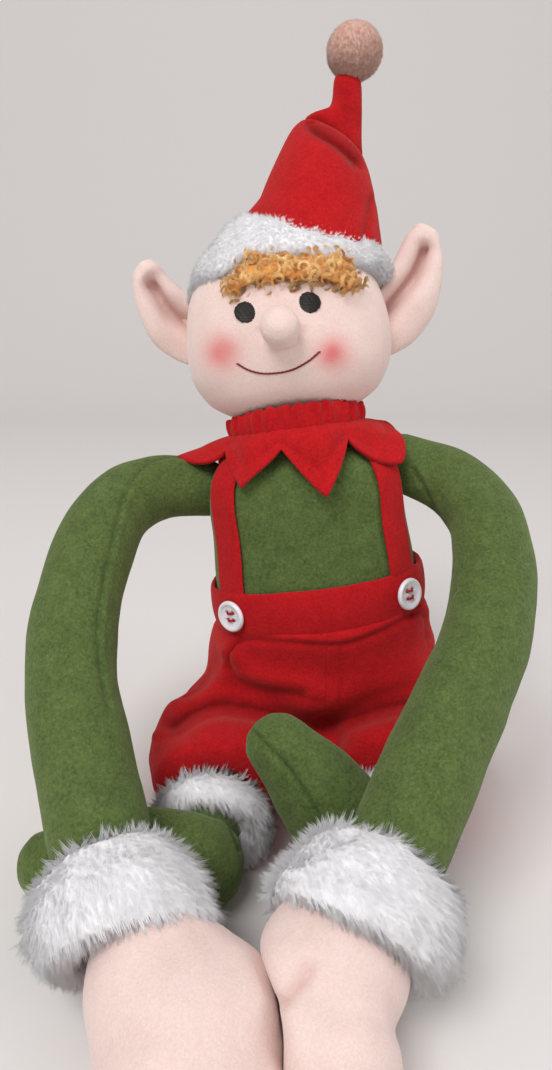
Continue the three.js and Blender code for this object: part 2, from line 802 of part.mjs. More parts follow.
function headForm(grow, columns = 22, rows = 12) {
  const geometry = new THREE.SphereGeometry(1, columns, rows).rotateX(Math.PI / 2);
  const position = geometry.attributes.position;
  const n = headSquareness;
  for (let i = 0; i < position.count; i += 1) {
    const p = v3().fromBufferAttribute(position, i);
    const across = Math.hypot(p.x, p.y);
    const m = p.z > 0 ? crownRoundness : jawRoundness;
    const rise = (across ** m + Math.abs(p.z) ** m) ** (-1 / m);
    const square = across > 1e-6 ? across * (Math.abs(p.x) ** n + Math.abs(p.y) ** n) ** (-1 / n) : 1;
    const height = p.z > 0 ? crownHeight : jawDepth;
    position.setXYZ(i,
      p.x * rise * square * (headHalfWidth * (1 - cheekFullness * p.z * rise) + grow),
      p.y * rise * square * (headHalfDepth + grow),
      p.z * rise * (height + grow));
  }
  return geometry;
}

// Below one inside the head's skin and above one outside it.
function headLevel(p) {
  const n = headSquareness;
  const m = p.z > 0 ? crownRoundness : jawRoundness;
  const up = p.z / (p.z > 0 ? crownHeight : jawDepth);
  const wide = headHalfWidth * (1 - cheekFullness * up);
  const section = Math.abs(p.x / wide) ** n + Math.abs(p.y / headHalfDepth) ** n;
  return section ** (m / n) + Math.abs(up) ** m;
}

function reachHead(origin, direction) {
  let low = 0;
  let high = 120;
  for (let i = 0; i < 40; i += 1) {
    const middle = (low + high) / 2;
    if (headLevel(origin.clone().addScaledVector(direction, middle)) < 1) low = middle;
    else high = middle;
  }
  return low;
}

function headNormal(p) {
  const step = 0.5;
  const slope = (axis) => headLevel(p.clone().addScaledVector(axis, step))
    - headLevel(p.clone().addScaledVector(axis, -step));
  return v3(slope(v3(1, 0, 0)), slope(v3(0, 1, 0)), slope(v3(0, 0, 1))).normalize();
}

function overFace(x, z, lift) {
  const front = v3(0, -1, 0);
  const origin = v3(x, 0, z);
  const p = origin.addScaledVector(front, reachHead(origin, front));
  return p.addScaledVector(headNormal(p), lift);
}

function neckForm(grow) {
  const top = neckBall.clone().add(v3(0, 0, neckRadius * 0.35 + neckHeight));
  return limb({
    route: [neckBall, neckBall.clone().lerp(top, 0.5), top],
    girth: [neckRadius, neckRadius, neckRadius * 0.8],
    sides: 14,
    steps: 3,
    roundEnd: false,
    grow,
  });
}

function buildHead() {
  piece(upperBody, 'neck', neckForm(0), colours.skinFleece);
  const neckInHead = neckForm(ballGap).applyMatrix4(upperBody.matrix)
    .applyMatrix4(head.matrix.clone().invert());
  piece(head, 'head', cut(headForm(0), neckInHead), colours.skinFleece);

  const nose = limb({
    route: [v3(0, -headHalfDepth + 4, noseDrop - 3), v3(0, -(headHalfDepth + noseReach) / 2, noseDrop - 1),
      v3(0, -noseReach, noseDrop)],
    girth: [noseRadius * 0.75, noseRadius * 0.9, noseRadius],
    sides: 10,
    steps: 3,
  });
  piece(head, 'nose', cut(nose, headForm(sewnGap)), colours.skinFleece);

  for (const [name, side] of [['eye_right', -1], ['eye_left', 1]]) {
    const centre = overFace((side * eyeSpacing) / 2, eyeDrop, 0);
    const dome = oval(centre, [eyeHalfWidth + 0.6, sewnGap + eyeLift, eyeHalfHeight + 0.6], 12, 6);
    piece(head, name, cut(dome, headForm(sewnGap)), colours.blackThread, 0.5);
  }

  const stitches = [];
  const count = 10;
  for (let i = 0; i <= count; i += 1) {
    const x = mouthHalfWidth * ((2 * i) / count - 1);
    const z = mouthCornerDrop - mouthSag * (1 - (x / mouthHalfWidth) ** 2);
    stitches.push(overFace(x + mouthOffset, z, sewnGap + mouthThread + 0.25));
  }
  const mouth = limb({ route: stitches, girth: [mouthThread, mouthThread], sides: 5, steps: 10,
    domeRings: 2, wideAlong: v3(0, 0, 1) });
  piece(head, 'mouth_stitch', mouth, colours.darkRedThread, 0.8);
}

const ears = {
  right: { side: -1, root: [46, 2, -8], base: [57, 1, 1], middle: [65, 0, 17], tip: [73, -1, 32] },
  left: { side: 1, root: [44, 2, -17], base: [55, 1, -6], middle: [68, 0, 12], tip: [80.5, -1, 31] },
};

function earForm(name, grow) {
  const { side, root, base, middle, tip } = ears[name];
  return limb({
    route: [root, base, middle, tip].map(([x, y, z]) => v3(side * x, y, z)),
    girth: [[earHalfWidth * 0.9, earHalfDepth], [earHalfWidth, earHalfDepth],
      [earHalfWidth * 0.86, earHalfDepth * 0.85], [earTipRadius, earTipRadius * 0.8]],
    sides: 12,
    steps: 6,
    domeRings: 2,
    grow,
  });
}

function buildEar(name) {
  const { side, base, middle, tip } = ears[name];
  const place = ([x, y, z], forward) => v3(side * x, y - forward, z);
  const depth = earHalfDepth + 6;
  const cup = limb({
    route: [place(base, depth - 1), place(middle, depth - 1),
      place(middle, depth).lerp(place(tip, depth), 0.6)],
    girth: [[earHalfWidth * 0.55, earCupDepth + 4], [earHalfWidth * 0.5, earCupDepth + 4],
      [3, earCupDepth + 1]],
    sides: 8,
    steps: 3,
    domeRings: 2,
  });
  piece(head, `ear_${name}`, cut(earForm(name, 0), headForm(sewnGap), cup), colours.skinFleece);
}

// The lower edge of the hat's band lies in a plane that leans back, and a little to the doll's left.
const hatUp = v3(0.1, 0.3, 0.95).normalize();
const hatFront = v3(0, -1, 0).addScaledVector(hatUp, hatUp.y).normalize();
const hatSide = hatUp.clone().cross(hatFront);
const bandTurns = 20;

function hatDirection(degrees) {
  return hatFront.clone().multiplyScalar(Math.cos(rad(degrees)))
    .addScaledVector(hatSide, Math.sin(rad(degrees)));
}

// The band's middle on the head's skin, with the way out of the skin and the way up along it.
function bandStation(degrees) {
  const half = hatBandHalfHeight - hatBandTaller * Math.sin(rad(degrees));
  const origin = hatUp.clone().multiplyScalar(hatPlaneHeight + half * 0.9);
  const around = hatDirection(degrees);
  const seat = origin.addScaledVector(around, reachHead(origin, around));
  const out = headNormal(seat);
  const up = hatUp.clone().addScaledVector(out, -hatUp.dot(out)).normalize();
  return { seat, out, up, half, around };
}

function bandForm(grow) {
  const sections = [];
  for (let k = 0; k < bandTurns; k += 1) {
    const { seat, out, up, half } = bandStation((360 * k) / bandTurns);
    const centre = seat.addScaledVector(out, hatBandHalfThickness + sewnGap);
    sections.push(ellipse(centre, out, up, hatBandHalfThickness + grow, half + grow, 6));
  }
  return ringSkin(sections);
}

function buildHat() {
  const earForms = Object.keys(ears).map((name) => earForm(name, sewnGap));
  piece(head, 'hat_band', cut(bandForm(0), headForm(sewnGap), ...earForms), colours.whitePlush);

  const tipPivot = toHead(vec(hatTailCentre));
  const foot = hatUp.clone().multiplyScalar(hatPlaneHeight + hatBandHalfHeight * 2);
  const end = tipPivot.clone().addScaledVector(v3(0.2, 0.1, 1).normalize(), -hatTipRadius * 0.5);
  const rises = [0, 0.18, 0.4, 0.66, 0.87, 1];
  const spine = new THREE.CatmullRomCurve3([foot, ...hatBends.map(vec), end]);
  const girths = [48, 33, 23.5, hatTipRadius * 0.86];
  const radii = new THREE.SplineCurve(girths.map((r) => new THREE.Vector2(r, 0)));
  const rings = rises.map((t) => {
    const ring = [];
    for (let k = 0; k < bandTurns; k += 1) {
      const { seat, out, up, half, around } = bandStation((360 * k) / bandTurns);
      const edge = seat.addScaledVector(up, half * 0.8).addScaledVector(out, hatBandHalfThickness * 0.7);
      const round = spine.getPoint(t).addScaledVector(around, radii.getPoint(t).x);
      ring.push(edge.lerp(round, Math.min(1, t * 2.8)));
    }
    return ring;
  });
  const cone = skin(rings, foot, end);
  const hatCone = cut(cone, headForm(sewnGap), bandForm(sewnGap), ball(tipPivot, hatTipRadius + ballGap));
  piece(head, 'hat_cone', hatCone, colours.redFelt);

  const pompom = toHead(vec(pompomCentre));
  const tailForm = limb({
    route: [tipPivot, tipPivot.clone().lerp(pompom, 0.35), tipPivot.clone().lerp(pompom, 0.75)],
    girth: [hatTipRadius, hatTipRadius * 0.72, hatTailEndRadius],
    sides: 12,
    steps: 5,
    roundEnd: false,
  });
  const pompomForm = (grow) => ball(pompom, pompomRadius + grow);
  piece(head, 'hat_tail', cut(tailForm, pompomForm(sewnGap)), colours.redFelt);
  piece(head, 'pompom', pompomForm(0), colours.palePlush);

  buildFringe();
}

// The curls peep out under the front of the hat band.
function buildFringe() {
  const route = [];
  const girth = [];
  const count = 14;
  const origin = hatUp.clone().multiplyScalar(hatPlaneHeight - fringeRadius * 0.8);
  for (let i = 0; i <= count; i += 1) {
    const around = hatDirection(fringeMiddle - fringeReach + (2 * fringeReach * i) / count);
    route.push(origin.clone().addScaledVector(around, reachHead(origin, around) + 1.5));
    girth.push(fringeRadius * (i % 2 === 0 ? 0.86 : 1));
  }
  const fringe = limb({ route, girth, domeRings: 2, sides: 8, steps: count, wideAlong: v3(0, 0, 1) });
  piece(head, 'hair_fringe', cut(fringe, headForm(sewnGap), bandForm(sewnGap)), colours.ginger);
}

buildTorso();
buildWaistband();
buildStrap(-1, 'strap_right');
buildStrap(1, 'strap_left');
buildButton(-1, 'button_right');
buildButton(1, 'button_left');
buildCollar();
buildShorts();
buildLeg('right');
buildLeg('left');
buildArm('right');
buildArm('left');
buildHead();
buildEar('right');
buildEar('left');
buildHat();

export default group;
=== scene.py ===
"""The looks of a stuffed felt and fleece elf doll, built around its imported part.

Shapes are worked out in millimetres in the part's own frame, and become metres in the mesh.
"""
import math

import bmesh
import bpy
import numpy as np
from mathutils import Matrix, Vector
from mathutils.bvhtree import BVHTree


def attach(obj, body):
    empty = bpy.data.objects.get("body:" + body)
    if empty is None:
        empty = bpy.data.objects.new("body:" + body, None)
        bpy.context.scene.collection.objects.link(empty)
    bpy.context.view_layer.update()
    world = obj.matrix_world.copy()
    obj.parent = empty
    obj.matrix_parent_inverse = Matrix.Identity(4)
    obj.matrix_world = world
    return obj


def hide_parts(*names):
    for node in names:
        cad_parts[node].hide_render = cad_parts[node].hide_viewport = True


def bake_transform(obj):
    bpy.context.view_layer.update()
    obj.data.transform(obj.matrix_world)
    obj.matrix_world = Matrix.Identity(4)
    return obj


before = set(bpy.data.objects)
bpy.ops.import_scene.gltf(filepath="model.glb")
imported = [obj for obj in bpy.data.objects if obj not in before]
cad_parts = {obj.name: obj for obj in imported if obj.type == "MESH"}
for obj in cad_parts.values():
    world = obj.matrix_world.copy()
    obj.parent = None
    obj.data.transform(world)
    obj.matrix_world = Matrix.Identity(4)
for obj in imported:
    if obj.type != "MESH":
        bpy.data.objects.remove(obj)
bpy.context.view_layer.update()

METRES = 0.001
FELT = 2.0
FLOOR_GAP = 0.3

# The camera and the picture

CAMERA_PLACE = np.array((-31.0, -452.0, 302.0))
CAMERA_PITCH = math.radians(17)
FOCAL_PIXELS = 808.0
PICTURE = (552, 1070)
LOOK = np.array((0.0, math.cos(CAMERA_PITCH), -math.sin(CAMERA_PITCH)))
LIFT = np.array((0.0, math.sin(CAMERA_PITCH), math.cos(CAMERA_PITCH)))
RIGHT = np.array((1.0, 0.0, 0.0))


def in_picture(points):
    """Where points show in the picture, in its pixels from the top left."""
    away = points - CAMERA_PLACE
    depth = away @ LOOK
    across = PICTURE[0] / 2 + FOCAL_PIXELS * (away @ RIGHT) / depth
    down = PICTURE[1] / 2 - FOCAL_PIXELS * (away @ LIFT) / depth
    return np.stack((across, down), axis=1)


def sight(u, v):
    return (LOOK + RIGHT * (u - PICTURE[0] / 2) / FOCAL_PIXELS
            - LIFT * (v - PICTURE[1] / 2) / FOCAL_PIXELS)


def at_depth(u, v, y):
    """The point seen at that pixel in the upright plane at that y."""
    line = sight(u, v)
    return CAMERA_PLACE + line * (y - CAMERA_PLACE[1]) / line[1]


# Numbers and curves

def placed(points, turn, origin):
    return np.asarray(points) @ np.array(turn).T + np.asarray(origin)


def unit(vectors):
    return vectors / np.maximum(np.linalg.norm(vectors, axis=-1, keepdims=True), 1e-9)


def lumps(points, size, seed):
    """A smooth uneven field from about -1 to 1, with humps about size mm across."""
    random = np.random.default_rng(seed)
    field = np.zeros(len(points))
    for _ in range(8):
        wave = 2 * math.pi / (size * random.uniform(0.9, 2.0))
        field += np.sin(points @ unit(random.normal(size=3)) * wave + random.uniform(0, 7))
    return field / 5


def spline(knots, count):
    """Points along a smooth line through the knots, evenly spaced in knot number."""
    knots = np.asarray(knots, dtype=float)
    ends = (2 * knots[0] - knots[1], 2 * knots[-1] - knots[-2])
    full = np.vstack((ends[0], knots, ends[1]))
    spans = len(knots) - 1
    at = np.linspace(0, spans, count)
    here = np.minimum(at.astype(int), spans - 1)
    t = (at - here)[:, None]
    a, b, c, d = (full[here + k] for k in range(4))
    return b + 0.5 * t * (c - a + t * (2 * a - 5 * b + 4 * c - d + t * (3 * (b - c) + d - a)))


def line_distance(points, line):
    """Each 2-D point's distance from a line of pixels, and the side it is on."""
    line = np.asarray(line, dtype=float)
    nearest = np.full(len(points), np.inf)
    side = np.zeros(len(points))
    for a, b in zip(line[:-1], line[1:]):
        run = b - a
        t = np.clip(((points - a) @ run) / max(run @ run, 1e-9), 0, 1)
        off = points - (a + t[:, None] * run)
        distance = np.linalg.norm(off, axis=1)
        closer = distance < nearest
        nearest[closer] = distance[closer]
        side[closer] = np.sign(run[0] * off[:, 1] - run[1] * off[:, 0])[closer]
    return nearest, side


# Meshes

def make(name, points, faces):
    mesh = bpy.data.meshes.new(name)
    mesh.from_pydata((np.asarray(points) * METRES).tolist(), [], faces)
    return shown(name, mesh)


def linked(name, data):
    """A new object in the scene, which holds that mesh, lamp or camera."""
    made = bpy.data.objects.new(name, data)
    bpy.context.scene.collection.objects.link(made)
    return made


def merged(name, meshes):
    work = bmesh.new()
    for mesh in meshes:
        work.from_mesh(mesh)
    whole = bpy.data.meshes.new(name)
    work.to_mesh(whole)
    work.free()
    return whole


def shown(name, mesh):
    work = bmesh.new()
    work.from_mesh(mesh)
    bmesh.ops.remove_doubles(work, verts=work.verts, dist=1e-6)
    bmesh.ops.recalc_face_normals(work, faces=work.faces)
    work.to_mesh(mesh)
    work.free()
    mesh.shade_smooth()
    return linked(name, mesh)


def triples(data, name):
    flat = np.empty(3 * len(data))
    data.foreach_get(name, flat)
    return flat.reshape(-1, 3)


def points_of(piece):
    return triples(piece.data.vertices, "co") / METRES


def normals_of(piece):
    return triples(piece.data.vertex_normals, "vector")


def move_to(piece, points):
    piece.data.vertices.foreach_set("co", (points * METRES).ravel())
    piece.data.update()


def swell(piece, amounts):
    move_to(piece, points_of(piece) + normals_of(piece) * np.reshape(amounts, (-1, 1)))


def evaluated(piece):
    """The piece with its modifiers made real."""
    made = bpy.data.meshes.new_from_object(
        piece.evaluated_get(bpy.context.evaluated_depsgraph_get()))
    old = piece.data
    piece.modifiers.clear()
    piece.data = made
    bpy.data.meshes.remove(old)
    made.shade_smooth()
    return piece


def modified(piece, kind, **settings):
    modifier = piece.modifiers.new(kind, kind)
    for name, value in settings.items():
        setattr(modifier, name, value)
    return evaluated(piece)


def remeshed(piece, voxel):
    modified(piece, "REMESH", mode="VOXEL", voxel_size=voxel * METRES)


def relaxed(piece, rounds):
    modified(piece, "SMOOTH", factor=0.5, iterations=rounds)


def uneven(piece, size, seed, height):
    """Lifts and sinks a skin in humps about size mm across."""
    swell(piece, lumps(points_of(piece), size, seed) * height)


def form_of(name, nodes, voxel, smoothing=8, grow=0.0):
    """One soft skin over copies of CAD nodes: joined, remeshed finely and relaxed."""
    piece = shown(name, merged(name, [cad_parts[node].data for node in nodes]))
    remeshed(piece, voxel)
    relaxed(piece, smoothing)
    swell(piece, np.full(len(piece.data.vertices), grow))
    return piece


def lofted(name, rings, start=None, end=None):
    """A skin over rings of equal counts, drawn to a point at each end, or closed on itself."""
    rings = np.asarray(rings)
    rows, count = rings.shape[:2]
    points = list(rings.reshape(-1, 3))
    faces = []
    ring_closed = start is None
    for row in range(rows if ring_closed else rows - 1):
        here, there = row * count, (row + 1) % rows * count
        for k in range(count):
            n = (k + 1) % count
            faces.append((here + k, here + n, there + n, there + k))
    if not ring_closed:
        points += [start, end]
        low, high, last = rows * count, rows * count + 1, (rows - 1) * count
        for k in range(count):
            n = (k + 1) % count
            faces += [(low, n, k), (high, last + k, last + n)]
    return make(name, points, faces)


def tube(name, route, girth, sides=48, steps=80, wide=(1, 0, 0), end_rings=8):
    """A stuffed limb along a smooth route, with the radii in girth and round ends."""
    centres = spline(route, steps)
    sizes = spline([(radius,) for radius in girth], steps)[:, 0]
    along = unit(np.gradient(centres, axis=0))
    stations = list(zip(centres, along, sizes))
    caps = []
    for (centre, way, size), sign in ((stations[0], -1), (stations[-1], 1)):
        angles = np.linspace(0, math.pi / 2, end_rings + 2)[1:-1]
        rings = [(centre + sign * way * size * math.sin(a), way, size * math.cos(a))
                 for a in angles]
        caps.append((rings, centre + sign * way * size))
    stations = caps[0][0][::-1] + stations + caps[1][0]
    turn = np.linspace(0, 2 * math.pi, sides, endpoint=False)
    across = np.array(wide, dtype=float)
    rings = []
    for centre, way, size in stations:
        across = unit(across - way * (across @ way))
        deep = np.cross(way, across)
        rings.append(centre + np.outer(np.cos(turn) * size, across)
                     + np.outer(np.sin(turn) * size, deep))
    return lofted(name, rings, caps[0][1], caps[1][1])


def attribute(piece, name, values):
    data = piece.data.attributes.get(name) or piece.data.attributes.new(name, "FLOAT", "POINT")
    data.data.foreach_set("value", np.asarray(values, dtype=np.float32))


def attribute_of(piece, name):
    values = np.zeros(len(piece.data.vertices), dtype=np.float32)
    data = piece.data.attributes.get(name)
    if data:
        data.data.foreach_get("value", values)
    return values


def press(piece, line, width, depth, roll=0.0, painted_shade=0.0):
    """Sinks the cloth that faces the camera along a line of pixels. roll lifts it beside the line,
    more on its left-hand side, and the last argument darkens its colour in the crease: painted
    shade."""
    points, normals = points_of(piece), normals_of(piece)
    facing = np.clip(np.sum(unit(CAMERA_PLACE - points) * normals, axis=1) * 3 + 0.4, 0, 1)
    distance, side = line_distance(in_picture(points), spline(line, 8 * len(line)))
    groove = np.exp(-(distance / width) ** 2)
    bank = np.exp(-((distance - 2.2 * width) / (1.4 * width)) ** 2) * (side < 0)
    move_to(piece, points + normals * (facing * (roll * bank - depth * groove))[:, None])
    # Painted shade: marks how far the cloth's colour is darkened in the crease, on the side that
    # faces the camera.
    if painted_shade:
        attribute(piece, "painted_crease_shade", np.maximum(attribute_of(piece, "painted_crease_shade"), painted_shade * groove * facing))


def surface(piece):
    points = points_of(piece)
    faces = [tuple(p.vertices) for p in piece.data.polygons]
    return BVHTree.FromPolygons([Vector(p) for p in points], faces)


def seen_at(tree, u, v):
    """The point of a surface that shows at that pixel, and the way it faces."""
    place, normal, _, _ = tree.ray_cast(Vector(CAMERA_PLACE), Vector(sight(u, v)))
    return np.array(place), np.array(normal)


# Materials

CLOUDS_SHARE = 0.45     # how strong the cloudy patches are beside the fibres
LET_BY = 0.88           # how much of a lamp's light goes past thin strands


def linear(code):
    channels = [int(code[i:i + 2], 16) / 255 for i in (0, 2, 4)]
    return [c / 12.92 if c <= 0.04045 else ((c + 0.055) / 1.055) ** 2.4 for c in channels] + [1]


def add(tree, kind, links=(), **settings):
    """One shader or geometry node. links holds what feeds its sockets, or their values, and
    settings the node's own settings and the values of sockets by name."""
    made = tree.nodes.new(kind)
    for name, value in settings.items():
        if name in made.bl_rna.properties:
            setattr(made, name, value)
    for name, value in settings.items():
        if name not in made.bl_rna.properties:
            made.inputs[name.replace("_", " ")].default_value = value
    for name, source in dict(links).items():
        if isinstance(source, bpy.types.NodeSocket):
            tree.links.new(source, made.inputs[name])
        else:
            made.inputs[name].default_value = source
    return made


MATERIALS = {}     # by name, which is also the name of a piece's slot


def new_material(name):
    """A new material's empty node tree."""
    material = MATERIALS[name] = bpy.data.materials.new(name)
    material.use_nodes = True
    material.node_tree.nodes.clear()
    return material.node_tree


def noise(tree, size, **settings):
    """An uneven tone, with patches about size mm across."""
    place = add(tree, "ShaderNodeTexCoord").outputs["Object"]
    return add(tree, "ShaderNodeTexNoise", {"Vector": place}, Scale=1000 / size,
               **settings).outputs["Fac"]


def two_tone(tree, value, low, high, deep, light):
    """A colour that goes from deep to light while a value goes from low to high."""
    level = add(tree, "ShaderNodeMapRange", {"Value": value}, From_Min=low, From_Max=high)
    return add(tree, "ShaderNodeMix", {"Factor": level.outputs[0], "A": linear(deep),
                                       "B": linear(light)}, data_type="RGBA").outputs["Result"]


def tinted(tree, mark, under, colour, **how):
    """A colour with another mixed in, as far as a mark on the mesh says."""
    mask = add(tree, "ShaderNodeAttribute", attribute_name=mark)
    return add(tree, "ShaderNodeMix", {"Factor": mask.outputs["Fac"], "A": under,
                                       "B": linear(colour)},
               data_type="RGBA", **how).outputs["Result"]


def surfaced(tree, links=(), **settings):
    shader = add(tree, "ShaderNodeBsdfPrincipled", links, **settings)
    add(tree, "ShaderNodeOutputMaterial", {"Surface": shader.outputs[0]})


def cloth(name, deep, light, fibre, mottle=9.0, sheen=0.1, relief=0.5, sheen_tint="ffffff",
          blush=None, painted_shade_tint="767676"):
    """Brushed or napped cloth: fine tangled fibres in relief, cloudy patches of tone, and a soft
    sheen at grazing angles. fibre and mottle are sizes in mm. blush is the colour of rouge, and the
    last colour multiplies the colour in creases: painted shade."""
    tree = new_material(name)
    clouds = noise(tree, mottle, Detail=4.0, Roughness=0.65)
    fibres = noise(tree, fibre, Detail=3.0, Roughness=0.7, Distortion=0.5)
    faint = add(tree, "ShaderNodeMath", {0: clouds, 1: CLOUDS_SHARE}, operation="MULTIPLY")
    tone = add(tree, "ShaderNodeMath", {0: faint.outputs[0], 1: fibres}, operation="ADD")
    colour = two_tone(tree, tone.outputs[0], 0.5, 0.95, deep, light)
    if blush:
        colour = tinted(tree, "blush", colour, blush)
    # Painted shade: the colour is multiplied darker in creases, as far as the mesh's mark says.
    colour = tinted(tree, "painted_crease_shade", colour, painted_shade_tint, blend_type="MULTIPLY")
    height = add(tree, "ShaderNodeBump", {"Height": fibres}, Strength=relief,
                 Distance=fibre * 0.6 * METRES)
    surfaced(tree, {"Base Color": colour, "Normal": height.outputs["Normal"]}, Roughness=0.95,
             Sheen_Weight=sheen, Sheen_Roughness=0.45, Specular_IOR_Level=0.2,
             Sheen_Tint=linear(sheen_tint))


def strands(name, root, tip, rough=0.6, sheen=0.2, gloss=0.1, through=0.06, reach=3.0,
            as_pile=0.85):
    """Fur or yarn: its tone varies over reach mm, from clump to clump, and the share of the
    light that goes through thin pile keeps its hollows bright. as_pile is how far strands
    share the shading of the skin that they stand on, as real pile does, whose fibres are far
    finer and more than these, so LET_BY of a lamp's light goes past them too."""
    tree = new_material(name)
    colour = two_tone(tree, noise(tree, reach, Detail=3.0), 0.35, 0.65, root, tip)
    shader = add(tree, "ShaderNodeBsdfPrincipled", {"Base Color": colour},
                 Roughness=rough, Sheen_Weight=sheen, Specular_IOR_Level=gloss)
    glow = add(tree, "ShaderNodeBsdfTranslucent", {"Color": colour})
    lie = add(tree, "ShaderNodeAttribute", attribute_name="lie")
    stood = add(tree, "ShaderNodeVectorTransform", {"Vector": lie.outputs["Vector"]},
                vector_type="NORMAL", convert_from="OBJECT", convert_to="WORLD")
    own = add(tree, "ShaderNodeNewGeometry")
    mixed_way = add(tree, "ShaderNodeMix", {"A": own.outputs["Normal"],
                                            "B": stood.outputs["Vector"]},
                    data_type="VECTOR", Factor=as_pile)
    way = add(tree, "ShaderNodeVectorMath", {0: mixed_way.outputs["Result"]},
              operation="NORMALIZE")
    tree.links.new(way.outputs[0], shader.inputs["Normal"])
    MATERIALS[name].cycles.use_bump_map_correction = False
    both = add(tree, "ShaderNodeMixShader",
               {0: through, 1: shader.outputs[0], 2: glow.outputs[0]})
    ray = add(tree, "ShaderNodeLightPath")
    let_by = add(tree, "ShaderNodeMath", {0: ray.outputs["Is Shadow Ray"], 1: LET_BY},
                 operation="MULTIPLY")
    clear = add(tree, "ShaderNodeBsdfTransparent")
    all_three = add(tree, "ShaderNodeMixShader",
                    {0: let_by.outputs[0], 1: both.outputs[0], 2: clear.outputs[0]})
    add(tree, "ShaderNodeOutputMaterial", {"Surface": all_three.outputs[0]})


def satin_stitch(name, colour):
    """Close rows of polyester embroidery thread: fine parallel ribs with a silky gleam."""
    tree = new_material(name)
    place = add(tree, "ShaderNodeTexCoord").outputs["Object"]
    rows = add(tree, "ShaderNodeTexWave", {"Vector": place}, Scale=420.0, Distortion=1.5,
               bands_direction="Z", Detail=1.0)
    height = add(tree, "ShaderNodeBump", {"Height": rows.outputs["Fac"]}, Strength=0.8,
                 Distance=0.0003)
    surfaced(tree, {"Normal": height.outputs["Normal"]}, Base_Color=linear(colour),
             Roughness=0.42, Specular_IOR_Level=0.5)


def plain(name, colour, rough, coat=0.0):
    surfaced(new_material(name), Base_Color=linear(colour), Roughness=rough, Coat_Weight=coat,
             Coat_Roughness=0.1)


# Brushed polyester felt: fibres lie every way, so it looks cloudy and has a faint bloom. Real
# fibres are too fine to show, so they are drawn in tufts about 1.6 mm across.
cloth("green_felt", "41522a", "667841", 1.6, sheen=0.3, sheen_tint="c8d8a8", relief=0.8)
# Smoother, tighter felt in a strong red, with the same bloom and a little finer tufts.
cloth("red_felt", "a50d13", "c81a20", 1.3, mottle=7, sheen=0.22, relief=0.7,
      sheen_tint="ff9a90")
# Short-napped polyester fleece in a pale flesh pink, rubbed with rouge at the cheeks, with a rosy
# brown painted shade in its creases.
cloth("skin_fleece", "e7cac2", "f1dbd4", 1.1, mottle=14, sheen=0.3, blush="dc4a50",
      painted_shade_tint="bc7868")
cloth("plush_backing", "f0ecf0", "fcfafc", 0.6)
cloth("pale_backing", "e4c0b2", "f0d4c8", 0.6)
# Long-pile polyester plush: soft white strands that clump at the tips.
strands("white_plush", "f6f3f6", "fffdff", sheen=0.6)
strands("pale_plush", "dda896", "f2cfc0", reach=2.0)
# Crimped doll's hair of glossy nylon, golden on top and ginger in the hollows.
strands("ginger_curls", "de8c3a", "ffd890", rough=0.35, gloss=0.6, through=0.1, reach=6.0,
        as_pile=0.5)
cloth("ginger_base", "d48a40", "f0b068", 0.9)
satin_stitch("black_thread", "17130f")
plain("dark_red_thread", "7c1218", 0.7)
plain("red_thread", "b01c22", 0.7)
# Glossy moulded polyester: a clear, sharp highlight on a cool white.
plain("white_button", "eceaf0", 0.25, coat=0.4)


def finish_piece(piece, slot, carrier, *nodes, fill=None):
    """Gives a piece its material, hangs it from its carrier if that is one body, and hides the CAD
    nodes that it stands for. A carrier is one body, or two bodies and two places round a bend, which
    are not used: such a piece stays where it is."""
    points = points_of(piece)
    points[:, 2] = np.maximum(points[:, 2], FLOOR_GAP)
    move_to(piece, points)
    if not piece.data.materials:
        piece.data.materials.append(MATERIALS[slot])
    if isinstance(carrier, str):
        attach(piece, carrier)
    else:
        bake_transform(piece)
    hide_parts(*nodes)


# Pile, curls and stitches

THIRDS = (0, 2.094, 4.189)     # a third of a turn apart, in radians


def tuft(name, count, length, width, lock, lean, seed):
    """A small lock: short tapering strands, rooted apart and drawn together at their tips."""
    random = np.random.default_rng(seed)
    points, faces = [], []
    whole = random.normal(size=2) * lean * length
    for _ in range(count):
        foot = random.normal(size=2) * lock
        reach = length * random.uniform(0.65, 1.1)
        end = foot * 0.45 + whole + random.normal(size=2) * lock * 0.35
        first = len(points)
        points += [(foot[0] + width * math.cos(a), foot[1] + width * math.sin(a), -0.5)
                   for a in THIRDS]
        points.append((end[0], end[1], reach))
        faces += [(first + k, first + (k + 1) % 3, first + 3) for k in range(3)]
    return hidden(make(name, points, faces))


def hidden(piece):
    """Takes a helper mesh out of the scene: only node trees use it."""
    bpy.context.scene.collection.objects.unlink(piece)
    return piece


def node_group(name, inputs):
    group = bpy.data.node_groups.new(name, "GeometryNodeTree")
    group.interface.new_socket("Geometry", in_out="INPUT", socket_type="NodeSocketGeometry")
    for label, kind in inputs:
        group.interface.new_socket(label, in_out="INPUT", socket_type="NodeSocket" + kind)
    group.interface.new_socket("Geometry", in_out="OUTPUT", socket_type="NodeSocketGeometry")
    return group, add(group, "NodeGroupInput").outputs


def realised(group, instances, material):
    """Instances made into one plain mesh, of one material."""
    real = add(group, "GeometryNodeRealizeInstances", {"Geometry": instances})
    return add(group, "GeometryNodeSetMaterial",
               {"Geometry": real.outputs[0], "Material": material}).outputs[0]


